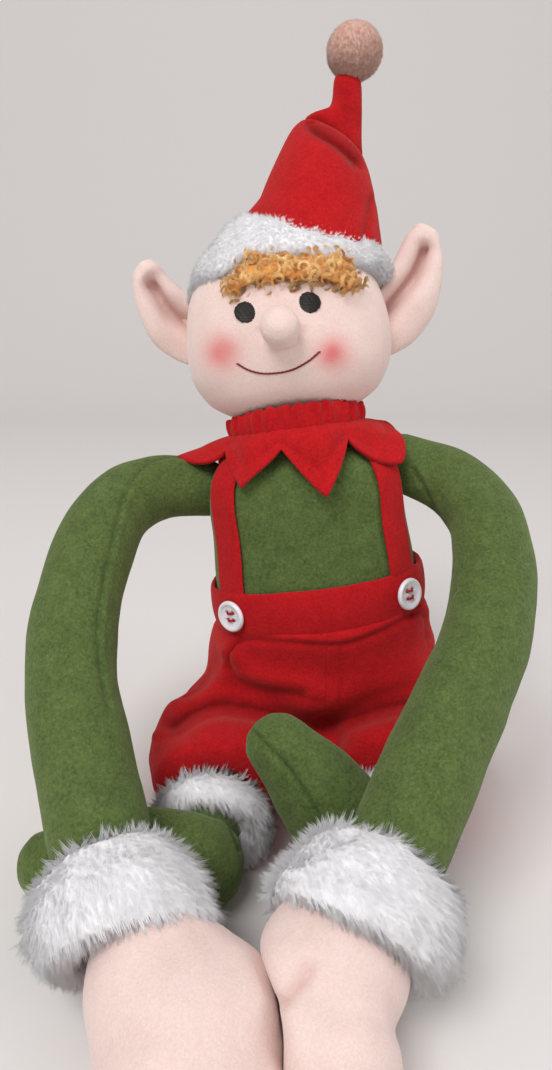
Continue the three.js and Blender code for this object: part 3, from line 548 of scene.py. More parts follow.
def pile_group():
    """Stands tufts all over a skin, combed one way and each turned a little differently."""
    group, given = node_group("pile", (("Tuft", "Object"), ("Density", "Float"),
                                       ("Comb", "Vector"), ("Untidy", "Float"), ("Seed", "Int"),
                                       ("Material", "Material")))
    scatter = add(group, "GeometryNodeDistributePointsOnFaces",
                  {"Mesh": given["Geometry"], "Density": given["Density"], "Seed": given["Seed"]})
    marked = add(group, "GeometryNodeStoreNamedAttribute",
                 {"Geometry": scatter.outputs["Points"], "Value": scatter.outputs["Normal"]},
                 data_type="FLOAT_VECTOR", domain="POINT", Name="lie")
    strand = add(group, "GeometryNodeObjectInfo", {"Object": given["Tuft"]})
    low, high = (add(group, "ShaderNodeVectorMath", {"Scale": given["Untidy"]},
                     operation="SCALE", Vector=(end, end, end)).outputs[0]
                 for end in (-1.0, 1.0))
    stray = add(group, "FunctionNodeRandomValue",
                {"Min": low, "Max": high, "Seed": given["Seed"]}, data_type="FLOAT_VECTOR")
    combed = add(group, "ShaderNodeVectorMath", {0: scatter.outputs["Normal"], 1: given["Comb"]},
                 operation="ADD")
    way = add(group, "ShaderNodeVectorMath", {0: combed.outputs[0], 1: stray.outputs[0]},
              operation="ADD")
    aligned = add(group, "FunctionNodeAlignRotationToVector", {"Vector": way.outputs[0]}, axis="Z")
    size = add(group, "FunctionNodeRandomValue", {2: 0.7, 3: 1.15, "Seed": given["Seed"]},
               data_type="FLOAT")
    stood = add(group, "GeometryNodeInstanceOnPoints",
                {"Points": marked.outputs[0], "Instance": strand.outputs["Geometry"],
                 "Rotation": aligned.outputs[0], "Scale": size.outputs[1]})
    coloured = realised(group, stood.outputs[0], given["Material"])
    both = add(group, "GeometryNodeJoinGeometry", {"Geometry": given["Geometry"]})
    group.links.new(coloured, both.inputs["Geometry"])
    add(group, "NodeGroupOutput", {"Geometry": both.outputs[0]})
    return group


def row_group():
    """Puts one shape on every point, turned and sized by the points' own values."""
    group, given = node_group("row", (("Shape", "Object"), ("Material", "Material")))
    shape = add(group, "GeometryNodeObjectInfo", {"Object": given["Shape"]})
    turn = add(group, "GeometryNodeInputNamedAttribute", data_type="FLOAT_VECTOR", Name="turn")
    size = add(group, "GeometryNodeInputNamedAttribute", data_type="FLOAT", Name="size")
    spin = add(group, "FunctionNodeEulerToRotation", {"Euler": turn.outputs[0]})
    stood = add(group, "GeometryNodeInstanceOnPoints",
                {"Points": given["Geometry"], "Instance": shape.outputs["Geometry"],
                 "Rotation": spin.outputs[0], "Scale": size.outputs[0]})
    coloured = realised(group, stood.outputs[0], given["Material"])
    add(group, "NodeGroupOutput", {"Geometry": coloured})
    return group


def grown(piece, group, **values):
    """Runs a node tree on a piece and keeps what it makes as a plain mesh."""
    modifier = piece.modifiers.new(group.name, "NODES")
    modifier.node_group = group
    for item in group.interface.items_tree:
        if item.in_out == "INPUT" and item.name in values:
            modifier[item.identifier] = values[item.name]
    return evaluated(piece)


PILE, ROW = pile_group(), row_group()
long_tuft = tuft("long_tuft", 10, 5.4, 0.17, 0.8, 0.3, 3)
mid_tuft = tuft("mid_tuft", 6, 3.4, 0.24, 0.65, 0.35, 4)
short_tuft = tuft("short_tuft", 8, 1.9, 0.17, 0.55, 0.2, 5)


def furred(piece, slot, backing, kind, density, comb, untidy, seed, carrier, node, fill=None):
    """Covers a piece with so many tufts to a square centimetre, and finishes it."""
    piece.data.materials.append(MATERIALS[backing])
    grown(piece, PILE, Tuft=kind, Density=density * 1e4, Comb=comb, Untidy=untidy,
          Seed=seed, Material=MATERIALS[slot])
    finish_piece(piece, slot, carrier, node, fill=fill)


def in_row(name, shape, places, turns, sizes, material):
    made = make(name, places, [])
    made.data.attributes.new("turn", "FLOAT_VECTOR", "POINT").data.foreach_set(
        "vector", np.asarray(turns, dtype=np.float32).ravel())
    attribute(made, "size", sizes)
    return grown(made, ROW, Shape=shape, Material=MATERIALS[material])


# The torso's own frame

TORSO_TURN = (Matrix.Rotation(math.radians(-4), 3, "X")
              @ Matrix.Rotation(math.radians(-7.5), 3, "Y"))
TORSO_ORIGIN = (-5.0, -3.0, 119.0)
WAIST_WIDE, WAIST_DEEP, TORSO_LOW, TORSO_HIGH = 60.0, 43.0, -30, 104.0
BAND_HIGH, SQUARENESS = 25.0, 2.3
OUTLINE = np.array([(-30, 0.62), (-12, 0.80), (0, 0.95), (26, 0.97), (52, 0.93), (74.9, 0.92),
                    (89.4, 0.84), (98.8, 0.64), (104, 0.44)])


def over_torso(degrees, height, lift=0.0):
    """Points over the torso's skin, in its own frame: 0 degrees is its front."""
    degrees, height = np.broadcast_arrays(np.asarray(degrees, float), np.asarray(height, float))
    fine = spline(OUTLINE, 200)
    share = np.interp(height, fine[:, 0], fine[:, 1])
    s, c = np.sin(np.radians(degrees)), np.cos(np.radians(degrees))
    reach = (np.abs(s / (WAIST_WIDE * share)) ** SQUARENESS
             + np.abs(c / (WAIST_DEEP * share)) ** SQUARENESS) ** (-1 / SQUARENESS) + lift
    return np.stack((s * reach, -c * reach, height), axis=-1)


def in_torso(points):
    return placed(points, TORSO_TURN, TORSO_ORIGIN)


# Torso, straps and waistband

STRAP_ROUND = (59, 61)      # degrees from the front, at the waistband and at the shoulder
BUTTON_ROUND, BUTTON_LIFT = 56, 5.3
HOLE_OFF, HOLE_RADIUS = 2.1, 1.15


def build_torso():
    around = np.linspace(0, 360, 128, endpoint=False)
    rings = [over_torso(around, height) for height in np.linspace(TORSO_LOW, TORSO_HIGH, 70)]
    torso = lofted("torso_cloth", in_torso(rings), in_torso((0, 0, TORSO_LOW)),
                   in_torso((0, 0, TORSO_HIGH)))
    uneven(torso, 24, 11, 0.5)
    finish_piece(torso, "green_felt", "torso", "torso", "pellet_bag", fill=0.8)


def build_waistband():
    """A felt band that hugs the waist, with rolled edges and a slight wave."""
    profile = [(-3, 0.7), (-3, 2.6), (-1, 4.0), (6, 4.5), (12, 4.8), (19, 4.6), (24.2, 4.0),
               (25.4, 3.0), (25.2, 1.4), (20, 0.8), (12, 0.6), (4, 0.6)]
    rings = []
    for degrees in np.linspace(0, 360, 200, endpoint=False):
        wave = 0.5 * math.sin(math.radians(degrees * 5 + 40))
        rings.append([over_torso(degrees, high, lift + wave * (lift > 2))
                      for high, lift in profile])
    band = lofted("waistband_cloth", in_torso(rings))
    modified(band, "SUBSURF", levels=1)
    uneven(band, 14, 12, 0.25)
    finish_piece(band, "red_felt", "torso", "waistband")


def build_strap(side, name):
    """A folded felt strap, up the front, over the shoulder and down the back."""
    bottom, top, reach = BAND_HIGH - 8, TORSO_HIGH * 0.95, np.linspace(0, 1, 30)
    degrees = STRAP_ROUND[0] + (STRAP_ROUND[1] - STRAP_ROUND[0]) * reach
    heights = bottom + (top - bottom) * reach
    degrees = np.concatenate((degrees, np.linspace(degrees[-1], 180 - degrees[-1], 12)[1:-1],
                              180 - degrees[::-1]))
    heights = np.concatenate((heights, np.full(10, top), heights[::-1]))
    centres = over_torso(side * degrees, heights)
    along = unit(np.gradient(centres, axis=0))
    beside = over_torso(side * (degrees + 1), heights) - centres
    below = centres - over_torso(side * degrees, heights - 1)
    out = unit(np.cross(below, beside))
    out *= np.sign(np.sum(out * centres * (1, 1, 0), axis=1))[:, None]
    wide = unit(np.cross(along, out))
    outline = [(-9.5, 0.2), (-9.7, 1.3), (-8.6, 2.5), (-4, 2.9), (0, 3.0), (4, 2.9), (8.6, 2.5),
               (9.7, 1.3), (9.5, 0.2), (4, 0), (0, 0), (-4, 0)]
    rings = [centre + np.outer([x for x, _ in outline], across)
             + np.outer([y for _, y in outline], up)
             for centre, across, up in zip(centres, wide, out)]
    strap = lofted(name + "_cloth", in_torso(rings), in_torso(centres[0]), in_torso(centres[-1]))
    modified(strap, "SUBSURF", levels=2)
    uneven(strap, 11, 13 + side, 0.3)
    finish_piece(strap, "red_felt", "torso", name)


def build_button(side, name):
    """A four-hole shirt button with a raised rim, sewn on with two stitches of red thread."""
    centre = over_torso(side * BUTTON_ROUND, BAND_HIGH * 0.52, BUTTON_LIFT)
    ends = [over_torso(side * (BUTTON_ROUND + off), 13, 5) for off in (2, -2)]
    across = unit(ends[0] - ends[1]) * side
    out = np.cross(across, (0, 0, 1))
    turn = TORSO_TURN @ Matrix((across, -out, (0, 0, 1))).transposed()
    origin = in_torso(centre)

    def seat(points):
        return placed(points, turn, origin)

    around = np.linspace(0, 2 * math.pi, 64, endpoint=False)
    rim = [(7, 0), (8.5, 0.4), (9, 1.3), (8.8, 2.3), (8.2, 3.0), (7.4, 3.1), (6.6, 2.7),
           (5.9, 2.2), (5.2, 2.0)]
    rings = [[(r * math.cos(a), -y, r * math.sin(a)) for a in around] for r, y in rim]
    button = lofted(name + "_moulded", seat(rings), seat((0, 0, 0)), seat((0, -2.0, 0)))
    for x, z in [(x, z) for z in (-HOLE_OFF, HOLE_OFF) for x in (-HOLE_OFF, HOLE_OFF)]:
        bore = [[(x + HOLE_RADIUS * math.cos(a), y, z + HOLE_RADIUS * math.sin(a))
                 for a in around[::4]] for y in (-6, 3)]
        hole = lofted("bore", seat(bore), seat((x, -6, z)), seat((x, 3, z)))
        modified(button, "BOOLEAN", object=hole, operation="DIFFERENCE", solver="EXACT")
        bpy.data.objects.remove(hole)
    button.data.shade_smooth()
    finish_piece(button, "white_button", "torso", name)
    for row, z in (("lower", -HOLE_OFF), ("upper", HOLE_OFF)):
        bars = []
        for shift in (-0.35, 0.35):
            route = [(-2.1, -0.4, z), (-2.0, -1.9, z + shift), (-1.2, -2.7, z + shift),
                     (1.2, -2.75, z + shift), (2.0, -1.9, z + shift), (2.1, -0.4, z)]
            bars.append(tube("bar", seat(route), [0.42] * 6, 8, 24, wide=(0, 0, 1)))
        node = name.replace("button", "button_thread") + "_" + row
        finish_piece(joined(node + "_sewn", bars), "red_thread", "torso", node)


def joined(name, pieces):
    """One piece from several, each keeping its own skin."""
    mesh = merged(name, [part.data for part in pieces])
    for part in pieces:
        bpy.data.objects.remove(part)
    mesh.shade_smooth()
    return linked(name, mesh)


# Collar

def build_ruffle():
    """A gathered felt band that stands round the neck, up under the chin."""
    rings = []
    for angle in np.linspace(0, 2 * math.pi, 280, endpoint=False):
        wave = 1.1 * math.sin(angle * 27) + 0.9 * math.sin(angle * 41 + 1)
        front = math.cos(angle)
        foot = 103.5 + 1.5 * front
        top = 116 + 8 * front + 0.6 * math.sin(angle * 31) + 0.4 * math.sin(angle * 47)
        section = []
        for t, radius in ((0, 35), (0.3, 38.4), (0.7, 39.2), (1, 38.4)):
            section.append((radius + wave * t, foot + (top - foot) * t))
        section += [(37.3 + wave, top + 0.5), (36.2 + wave, top - 0.3)]
        for t, radius in ((0.7, 36), (0.3, 35.4), (0, 33)):
            section.append((radius + wave * t, foot + (top - foot) * t))
        rings.append([(math.sin(angle) * r, -math.cos(angle) * r, z) for r, z in section])
    ruffle = lofted("collar_ruffle", in_torso(rings))
    modified(ruffle, "SUBSURF", levels=1)
    foot, top = (in_torso((0, 0, high)) * METRES for high in (106, 120))
    finish_piece(ruffle, "red_felt", ("torso", "neck", tuple(foot), tuple(top)), "collar_band")


def build_petals():
    """Seven pointed felt petals in one ring, lying out from the ruffle's foot."""
    count, columns, steps = 7, 40, 16
    longer = (4, 0, 0, 0, 0, 1, -4)     # each petal, from the one at the front round by the left
    pointed = (1.05, 0.7, 0.8, 1, 1, 0.62, 1)
    rings = []
    for k in range(count * columns):
        degrees = 360 * k / (count * columns)
        petal = ((degrees - 11.5) * count / 360) % count
        phase = petal % 1
        to_tip = abs(2 * phase - 1)
        which = round(petal) % count
        length = 9 + (24.5 + longer[which]) * to_tip ** pointed[which]
        turn = math.radians(degrees)
        droop_full = np.interp(min(degrees, 360 - degrees), (0, 25, 50, 65, 80, 92, 114, 150, 180),
                               (70, 66, 55, 44, 28, 12, 30, 52, 64))
        foot = 106.5 + 3.5 * math.cos(turn)
        curl = 3.0 * math.sin(2 * math.pi * phase) * to_tip
        outer, inner = [], []
        for t in np.linspace(0, 1, steps):
            droop = math.radians(droop_full * min(1, 0.3 + 1.2 * t))
            run = length * t
            reach, high = 36 + run * math.cos(droop), foot - run * math.sin(droop)
            wave = curl * t
            for side, row in ((FELT + 0.6, outer), (0.6, inner)):
                r = reach + (side + wave) * math.sin(droop)
                z = high + (side + wave) * math.cos(droop)
                row.append((math.sin(turn) * r, -math.cos(turn) * r, z))
        rings.append(outer + inner[::-1])
    petals = lofted("collar_petals_cut", in_torso(rings))
    uneven(petals, 12, 21, 0.25)
    finish_piece(petals, "red_felt", "torso", "collar_petals")


# Head

HEAD_MIDDLE = np.array((-30.0, 20.0, 300.0))
HAT_RIM = (np.array((0, 0.425, 0.905)), 283.5)      # the plane that the hat's rim lies in
CHEEKS = ((222, 353, 17), (333, 354, 16))      # pixels, and each one's radius in pixels
UNDER_NOSE = [(262, 331), (270, 341), (283, 344), (296, 340), (302, 331)]
SMILE = [(237, 364), (250, 371), (267, 374), (290, 371), (308, 362), (320, 352)]
LOWEST_AT, LOWEST_WIDE = 228, 16      # pixels across: where the curls hang lowest, and how far
FRINGE_EDGE = 243      # a pixel across: what shows left of it is drawn in towards it


def squeezed(points, share):
    """Draws what lies above the hat's rim in towards the head's middle."""
    above = np.clip((points @ HAT_RIM[0] - HAT_RIM[1] - 2) / 14, 0, 1)
    return HEAD_MIDDLE + (points - HEAD_MIDDLE) * (1 - share * above)[:, None]


def build_head():
    head = form_of("head_cloth", ["head"], 1.6, 80, 1.9)
    points = squeezed(points_of(head), 0.15)
    move_to(head, points)
    seen = in_picture(points)
    facing = normals_of(head) @ LOOK < 0.1
    rouge = np.zeros(len(points))
    for u, v, size in CHEEKS:
        far = np.hypot(seen[:, 0] - u, seen[:, 1] - v)
        rouge = np.maximum(rouge, np.exp(-(far / size) ** 2))
    attribute(head, "blush", rouge * facing * (0.74 + 0.1 * lumps(points, 9, 32)))
    swell(head, lumps(points, 26, 31) * 0.4)
    press(head, UNDER_NOSE, 4, 1.4)
    finish_piece(head, "skin_fleece", "head", "head", fill=0.95)
    return head


def build_face(head):
    tree = surface(head)
    nose = form_of("nose_ball", ["nose"], 0.9, 10, 0.9)
    finish_piece(nose, "skin_fleece", "head", "nose", fill=1.0)
    for side in ("right", "left"):
        name = "eye_" + side
        eye = form_of(name + "_stitched", [name], 0.5, 6, -0.1)
        points = points_of(eye)
        centre = points.mean(axis=0)
        points = centre + (points - centre) * (1.14, 1.0, 0.87) + unit(CAMERA_PLACE - centre) * 0.9
        if side == "left":
            points[:, 0] -= 1.8
        move_to(eye, points)
        ribs = np.sin((points[:, 2] * 0.94 - points[:, 0] * 0.34) * 2 * math.pi / 0.9)
        swell(eye, ribs * 0.13)
        finish_piece(eye, "black_thread", "head", name)
    line = spline(SMILE, 200)
    along = np.concatenate(([0], np.cumsum(np.linalg.norm(np.diff(line, axis=0), axis=1))))
    count = 22
    where = (np.arange(count) + 0.5) / count * along[-1]
    places, turns = [], []
    for at in where:
        ends = [seen_at(tree, *(np.interp(a, along, line[:, k]) for k in (0, 1)))
                for a in (at - 1.5, at + 1.5)]
        middle = (ends[0][0] + ends[1][0]) / 2 + ends[0][1] * 0.25
        way = Vector(ends[1][0] - ends[0][0])
        places.append(middle)
        turns.append(way.to_track_quat("X", "Z").to_euler())
    stitch = hidden(tube("stitch", [(-1.2, 0, 0), (-0.6, 0, 0.25), (0.6, 0, 0.25), (1.2, 0, 0)],
                         [0.3, 0.5, 0.5, 0.3], 8, 8, wide=(0, 1, 0)))
    mouth = in_row("mouth_stitches", stitch, places, turns, np.ones(count),
                   "dark_red_thread")
    finish_piece(mouth, "dark_red_thread", "head", "mouth_stitch")


def build_ears():
    """Stuffed fleece ears, cupped along a sewn fold, with fat rounded rims."""
    shapes = {
        "right": [(205, 300, 200, 366, 19, 8), (192, 297, 184, 364, 19, 9),
                  (178, 287, 160, 349, 19, 9.5), (168, 276, 144, 325, 20, 9),
                  (161, 267, 135, 297, 20, 8), (155, 262, 134, 281, 21, 6.5)],
        "left": [(364, 296, 376, 356, 12, 8), (379, 290, 394, 354, 12, 9),
                 (389, 272, 420, 335, 12, 10), (398, 252, 436, 303, 12, 9.5),
                 (406, 236, 441, 265, 12, 8.5), (413, 228, 439, 243, 12, 6.5)],
    }
    folds = {"right": [(152, 284), (165, 303), (178, 317), (196, 328)],
             "left": [(424, 250), (414, 274), (398, 294), (382, 314)]}
    tips = {"right": (141, 266, 21), "left": (427, 226, 12)}
    for side in ("right", "left"):
        rings = picture_rings(spline(shapes[side], 60), 64)
        tip = np.array(at_depth(*tips[side]))
        centre = rings[-1].mean(axis=0)
        cap = [centre + (tip - centre) * math.sin(a) + (rings[-1] - centre) * math.cos(a)
               for a in np.linspace(0, math.pi / 2, 9)[1:-1]]
        ear = lofted("ear_" + side + "_cloth", np.concatenate((rings, cap)),
                     rings[0].mean(axis=0), tip)
        remeshed(ear, 1.0)
        # The fold is sunk, and darkened with painted shade where its shade falls.
        press(ear, folds[side], 10, 7.5, roll=0.8, painted_shade=0.3)
        press(ear, folds[side], 3.2, 3.2, painted_shade=0.55)
        relaxed(ear, 6)
        uneven(ear, 14, 41, 0.35)
        finish_piece(ear, "skin_fleece", "head", "ear_" + side, fill=0.8)


def build_fringe():
    """Crimped golden curls that spill from under the hat over the forehead."""
    base = form_of("fringe_base", ["hair_fringe"], 1.4, 8, -1.0)
    points = points_of(base)
    seen = in_picture(points)
    drop = 3.5 + 4.5 * np.exp(-((seen[:, 0] - LOWEST_AT) / LOWEST_WIDE) ** 2) + lumps(points, 9, 53)
    inwards = np.clip((FRINGE_EDGE - seen[:, 0]) / 2.5, 0, 15)
    points += np.outer(inwards, (1, 0, 0)) - np.outer(drop, (0, 0, 1))
    tucked = np.clip((points @ HAT_RIM[0] - HAT_RIM[1] + 21) / 8, 0, 1)[:, None]
    move_to(base, points + unit((points - HEAD_MIDDLE) * (1, 1, 0.3)) * (4.0 - 8.0 * tucked))
    random = np.random.default_rng(51)
    coils = []
    for fibre in range(7):
        turn = np.linspace(0, 1.6 * 2 * math.pi, 13)
        radius, start = random.uniform(1.9, 3.0), random.uniform(0, 0.6)
        coil = [(radius * math.cos(a + start), radius * math.sin(a + start),
                 a * 0.8 - 3 + 0.25 * fibre) for a in turn]
        coils.append(tube("coil", coil, [0.1] + [0.21] * 11 + [0.08], 3, 14, end_rings=0))
    curl = hidden(joined("curl", coils))
    furred(base, "ginger_curls", "ginger_base", curl, 7.5, (0.1, -0.2, -0.8), 0.9, 52, "head",
           "hair_fringe")


# Hat

CROWN_HIGH = 362
BAND_SIDE = 245      # a pixel across: the band is moved more, the further left of it that it shows
HAT_FOLDS = (      # a line of pixels, its width there, and the depth, roll and painted shade of the fold
    ([(313, 124), (330, 134), (345, 145), (359, 159)], 8, 4.0, 0, 0.66),
    ([(307, 123), (316, 133), (335, 144), (350, 157), (361, 167)], 2.2, 1.2, 0, 0.5),
    ([(348, 122), (346, 108), (347, 92)], 9, 0.4, 0, 0.22),
    ([(372, 200), (368, 225), (367, 240), (373, 262)], 4, 1.8, 0, 0.1))


def picture_rings(stations, sides=72):
    """Rings from what shows in the picture: left and right pixels, y and half depth."""
    rings = []
    turn = np.linspace(0, 2 * math.pi, sides, endpoint=False)
    for u0, v0, u1, v1, y, half_deep in stations:
        a, b = at_depth(u0, v0, y), at_depth(u1, v1, y)
        wide = (b - a) / 2
        deep = unit(np.cross(wide, LIFT)) * half_deep
        rings.append((a + b) / 2 + np.outer(np.cos(turn), wide) + np.outer(np.sin(turn), deep))
    return np.array(rings)


def build_hat():
    cone = spline([(232, 284, 384, 284, 24, 46), (238, 256, 382, 262, 24, 45),
                   (252, 222, 379, 238, 26, 40), (265, 188, 374, 203, 28, 34),
                   (280, 152, 367, 172, 32, 27), (290, 133, 356, 157, 35, 20),
                   (300, 122, 338, 142, 37, 11)], 60)
    front = lofted("front", picture_rings(cone), at_depth(307, 286, 24), at_depth(318, 127, 38))
    tail = spline([(298, 208, 366, 214, 30, 10), (298, 184, 365, 190, 42, 13),
                   (299, 150, 363, 160, 50, 12),
                   (302, 126, 362, 138, 53, 10), (308, 116, 362, 124, 54, 9.5),
                   (326, 111, 362, 114, 54, 9), (331, 102, 362, 104, 54, 8.5),
                   (332, 90, 362, 91, 54, 8), (333, 78, 361, 79, 54, 7)], 60)
    back = lofted("back", picture_rings(tail), at_depth(331, 214, 30), at_depth(347, 74, 54))
    crown = form_of("crown", ["hat_cone"], 1.8, 4, 2.0)
    cut_off(crown, (0, 0, CROWN_HIGH), Vector((0, 0, 1)))
    move_to(crown, squeezed(points_of(crown), 0.09))
    hat = joined("hat_cloth", [front, back, crown])
    remeshed(hat, 1.3)
    relaxed(hat, 7)
    uneven(hat, 22, 61, 0.5)
    # Each fold is sunk, and darkened with painted shade where its shade falls.
    for fold in HAT_FOLDS:
        press(hat, *fold)
    bends = ("head", "hat_tip", (0.006, 0.045, 0.386), (0.007, 0.046, 0.400))
    finish_piece(hat, "red_felt", bends, "hat_cone", "hat_tail", fill=0.5)
    band = form_of("hat_band_fur", ["hat_band"], 2.0, 9, 3.0)
    points = points_of(band)
    front = np.clip(-points[:, 1] / 20, 0, 1)
    side = np.clip((BAND_SIDE - in_picture(points)[:, 0]) / 40, 0, 1)
    beside = side * np.clip((70 - points[:, 1]) / 40, 0, 1)
    move_to(band, points - np.outer(front * 7.5, (0, 0, 1))
            + np.outer(front * side, (2, -1.5, -1)) + np.outer(beside, (4, -9, -8)))
    furred(band, "white_plush", "plush_backing", mid_tuft, 54, (0, -0.1, -0.5), 0.5, 62, "head",
           "hat_band", 0.7)
    pompom = form_of("pompom_pile", ["pompom"], 1.2, 10, -1.2)
    furred(pompom, "pale_plush", "pale_backing", short_tuft, 220, (0, 0, 0), 0.4, 63, "hat_tip",
           "pompom", 0.9)
    neck = form_of("neck_cloth", ["neck"], 1.6, 8)
    finish_piece(neck, "skin_fleece", "neck", "neck", fill=0.9)


# Shorts, legs and shoes

OVER_THIGHS = [(174, 725), (196, 710), (222, 703), (257, 708), (290, 717), (322, 728)]
TO_CROTCH = [(322, 728), (350, 717), (385, 706), (418, 700)]
POCKETS_AND_SEAM = (      # the pockets' edge, the front seam, and a fold below and one beside, each sunk and darkened with painted shade
    ([(229, 668), (232, 652), (244, 640), (280, 642), (338, 645), (380, 632),
      (416, 613), (427, 620), (428, 638)], 2.6, 1.8, 1.2, 0.4),
    ([(339, 648), (341, 676), (338, 705)], 1.6, 0.8, 0, 0.2),
    ([(229, 668), (238, 682), (262, 692), (300, 697)], 7, 3.0, 2.0, 0.35),
    ([(214, 662), (200, 682), (184, 692)], 8, 3.0, 1.5, 0.2))
SHOE_SEAMS = {"right": [(178, 812), (205, 806), (228, 822), (240, 850)],
              "left": [(252, 727), (262, 740), (289, 768), (313, 805), (330, 831)]}


def build_shorts():
    """Felt shorts, sewn from a right and a left half, puffed out over the stuffed hips."""
    whole = form_of("shorts", ["shorts_body", "shorts_leg_right", "shorts_leg_left", "torso"],
                    2.0, 16, 0.8)
    cut_off(whole, in_torso((0, 0, 3)), TORSO_TURN @ Vector((0, 0, 1)))
    remeshed(whole, 1.8)
    relaxed(whole, 4)
    uneven(whole, 30, 71, 0.9)
    for line, depth in ((OVER_THIGHS, 7), (TO_CROTCH, 5.5)):
        press(whole, line, 12, depth, roll=3.0)
        relaxed(whole, 3)
        press(whole, line, 5, 3.0)
    remeshed(whole, 1.6)
    relaxed(whole, 6)
    # Each crease is sunk and darkened with painted shade.
    for painted_crease_shade in POCKETS_AND_SEAM:
        press(whole, *painted_crease_shade)
    relaxed(whole, 3)
    # Painted shade only: the folds over the thighs and to the crotch are darkened, not sunk.
    for line in (OVER_THIGHS, TO_CROTCH):
        press(whole, line, 9, 0, painted_shade=0.5)
        press(whole, line, 5, 0, painted_shade=0.75)
    for side, sign in (("right", -1), ("left", 1)):
        half = copy_of("shorts_" + side + "_half", whole)
        cut_off(half, (-3, 0, 0), (-sign, 0, 0))
        x = -0.003 + sign * 0.045
        bends = ("torso", "leg_" + side, (x, -0.020, 0.058), (x, -0.054, 0.032))
        nodes = ["shorts_leg_" + side] + ["shorts_body"] * (side == "right")
        finish_piece(half, "red_felt", bends, *nodes, fill=0.6)
    bpy.data.objects.remove(whole)


def cut_off(piece, place, way):
    """Cuts away what lies past a plane, and closes the cut."""
    work = bmesh.new()
    work.from_mesh(piece.data)
    cut = bmesh.ops.bisect_plane(
        work, geom=work.verts[:] + work.edges[:] + work.faces[:], dist=1e-7,
        plane_co=Vector(place) * METRES, plane_no=way, clear_outer=True)
    edges = [g for g in cut["geom_cut"] if isinstance(g, bmesh.types.BMEdge)]
    bmesh.ops.holes_fill(work, edges=edges)
    work.to_mesh(piece.data)
    work.free()
    piece.data.shade_smooth()


def copy_of(name, piece):
    mesh = piece.data.copy()
    mesh.name = name
    return linked(name, mesh)


def build_legs():
    for side in ("right", "left"):
        body = "leg_" + side
        leg = form_of(body + "_cloth", [body], 1.8, 8)
        finish_piece(leg, "green_felt", body, body, fill=0.8)
        shoe = form_of("shoe_" + side + "_cloth", ["shoe_" + side], 1.5, 12, 0.8)
        uneven(shoe, 20, 81, 0.5)
        # The seam is sunk and darkened with painted shade.
        press(shoe, SHOE_SEAMS[side], 1.8, 1.6, painted_shade=0.5)
        finish_piece(shoe, "green_felt", body, "shoe_" + side, fill=0.85)
        trim = form_of("trim_" + side + "_fur", ["trim_" + side], 2.0, 8, 0.5)
        furred(trim, "white_plush", "plush_backing", long_tuft, 40, (0, -0.35, -0.1), 0.45, 82,
               body, "trim_" + side, 0.6)


# Arms and hands

def near_pixel(points, u, v, across, down):
    """How near points show to a pixel: 1 at it, and 0 well past that many pixels off."""
    seen = in_picture(points)
    return np.exp(-((seen[:, 0] - u) / across) ** 2 - ((seen[:, 1] - v) / down) ** 2)


RIGHT_HAND_MIDDLE = -63
HAND_BACK = 50     # from the wrist along the arm: what is nearer than that draws into the cuff
ARM_ROUTES = {
    "right": [(-72.56, 7.0, 190.35), (-98, 4, 196), (-119, -14, 188), (-127, -30, 176),
              (-132, -50, 157), (-136, -73, 134.5), (-133, -92, 115), (-124, -114, 96),
              (-114, -136, 77), (-101, -166, 51)],
    "left": [(41.65, 8.05, 205.35), (72, 0, 199), (85, -18, 184), (87, -38, 167),
             (83, -58, 150), (75.5, -80, 130.5), (61.5, -98, 115), (48.5, -116, 101),
             (34, -136, 83), (14, -166, 55)],
}
SLEEVE_SEAMS = {
    "right": [(196, 458), (173, 456), (147, 464), (126, 493), (111, 552), (103, 590), (98, 631),
              (101, 669), (110, 713)],
    "left": [(414, 470), (430, 500), (446, 540), (455, 590)],
}
ELBOW_BEND = 18     # how far to each side of the elbow the sleeve's two carrier places lie
CUFF_FREE, CUFF_TAKEN_IN = 4, 0.38     # a cuff is drawn in from so far past the wrist, by this share
HAND_TAKEN_IN = 13     # how far a hand's root is drawn back into its cuff
FULLER_AT = (248, 955, 40, 60)     # a pixel, and how far that reaches across and down
THUMB_AT = (286, 945, 32, 55)
THUMB_CREASE = [(282, 1000), (292, 990), (304, 981), (311, 966)]


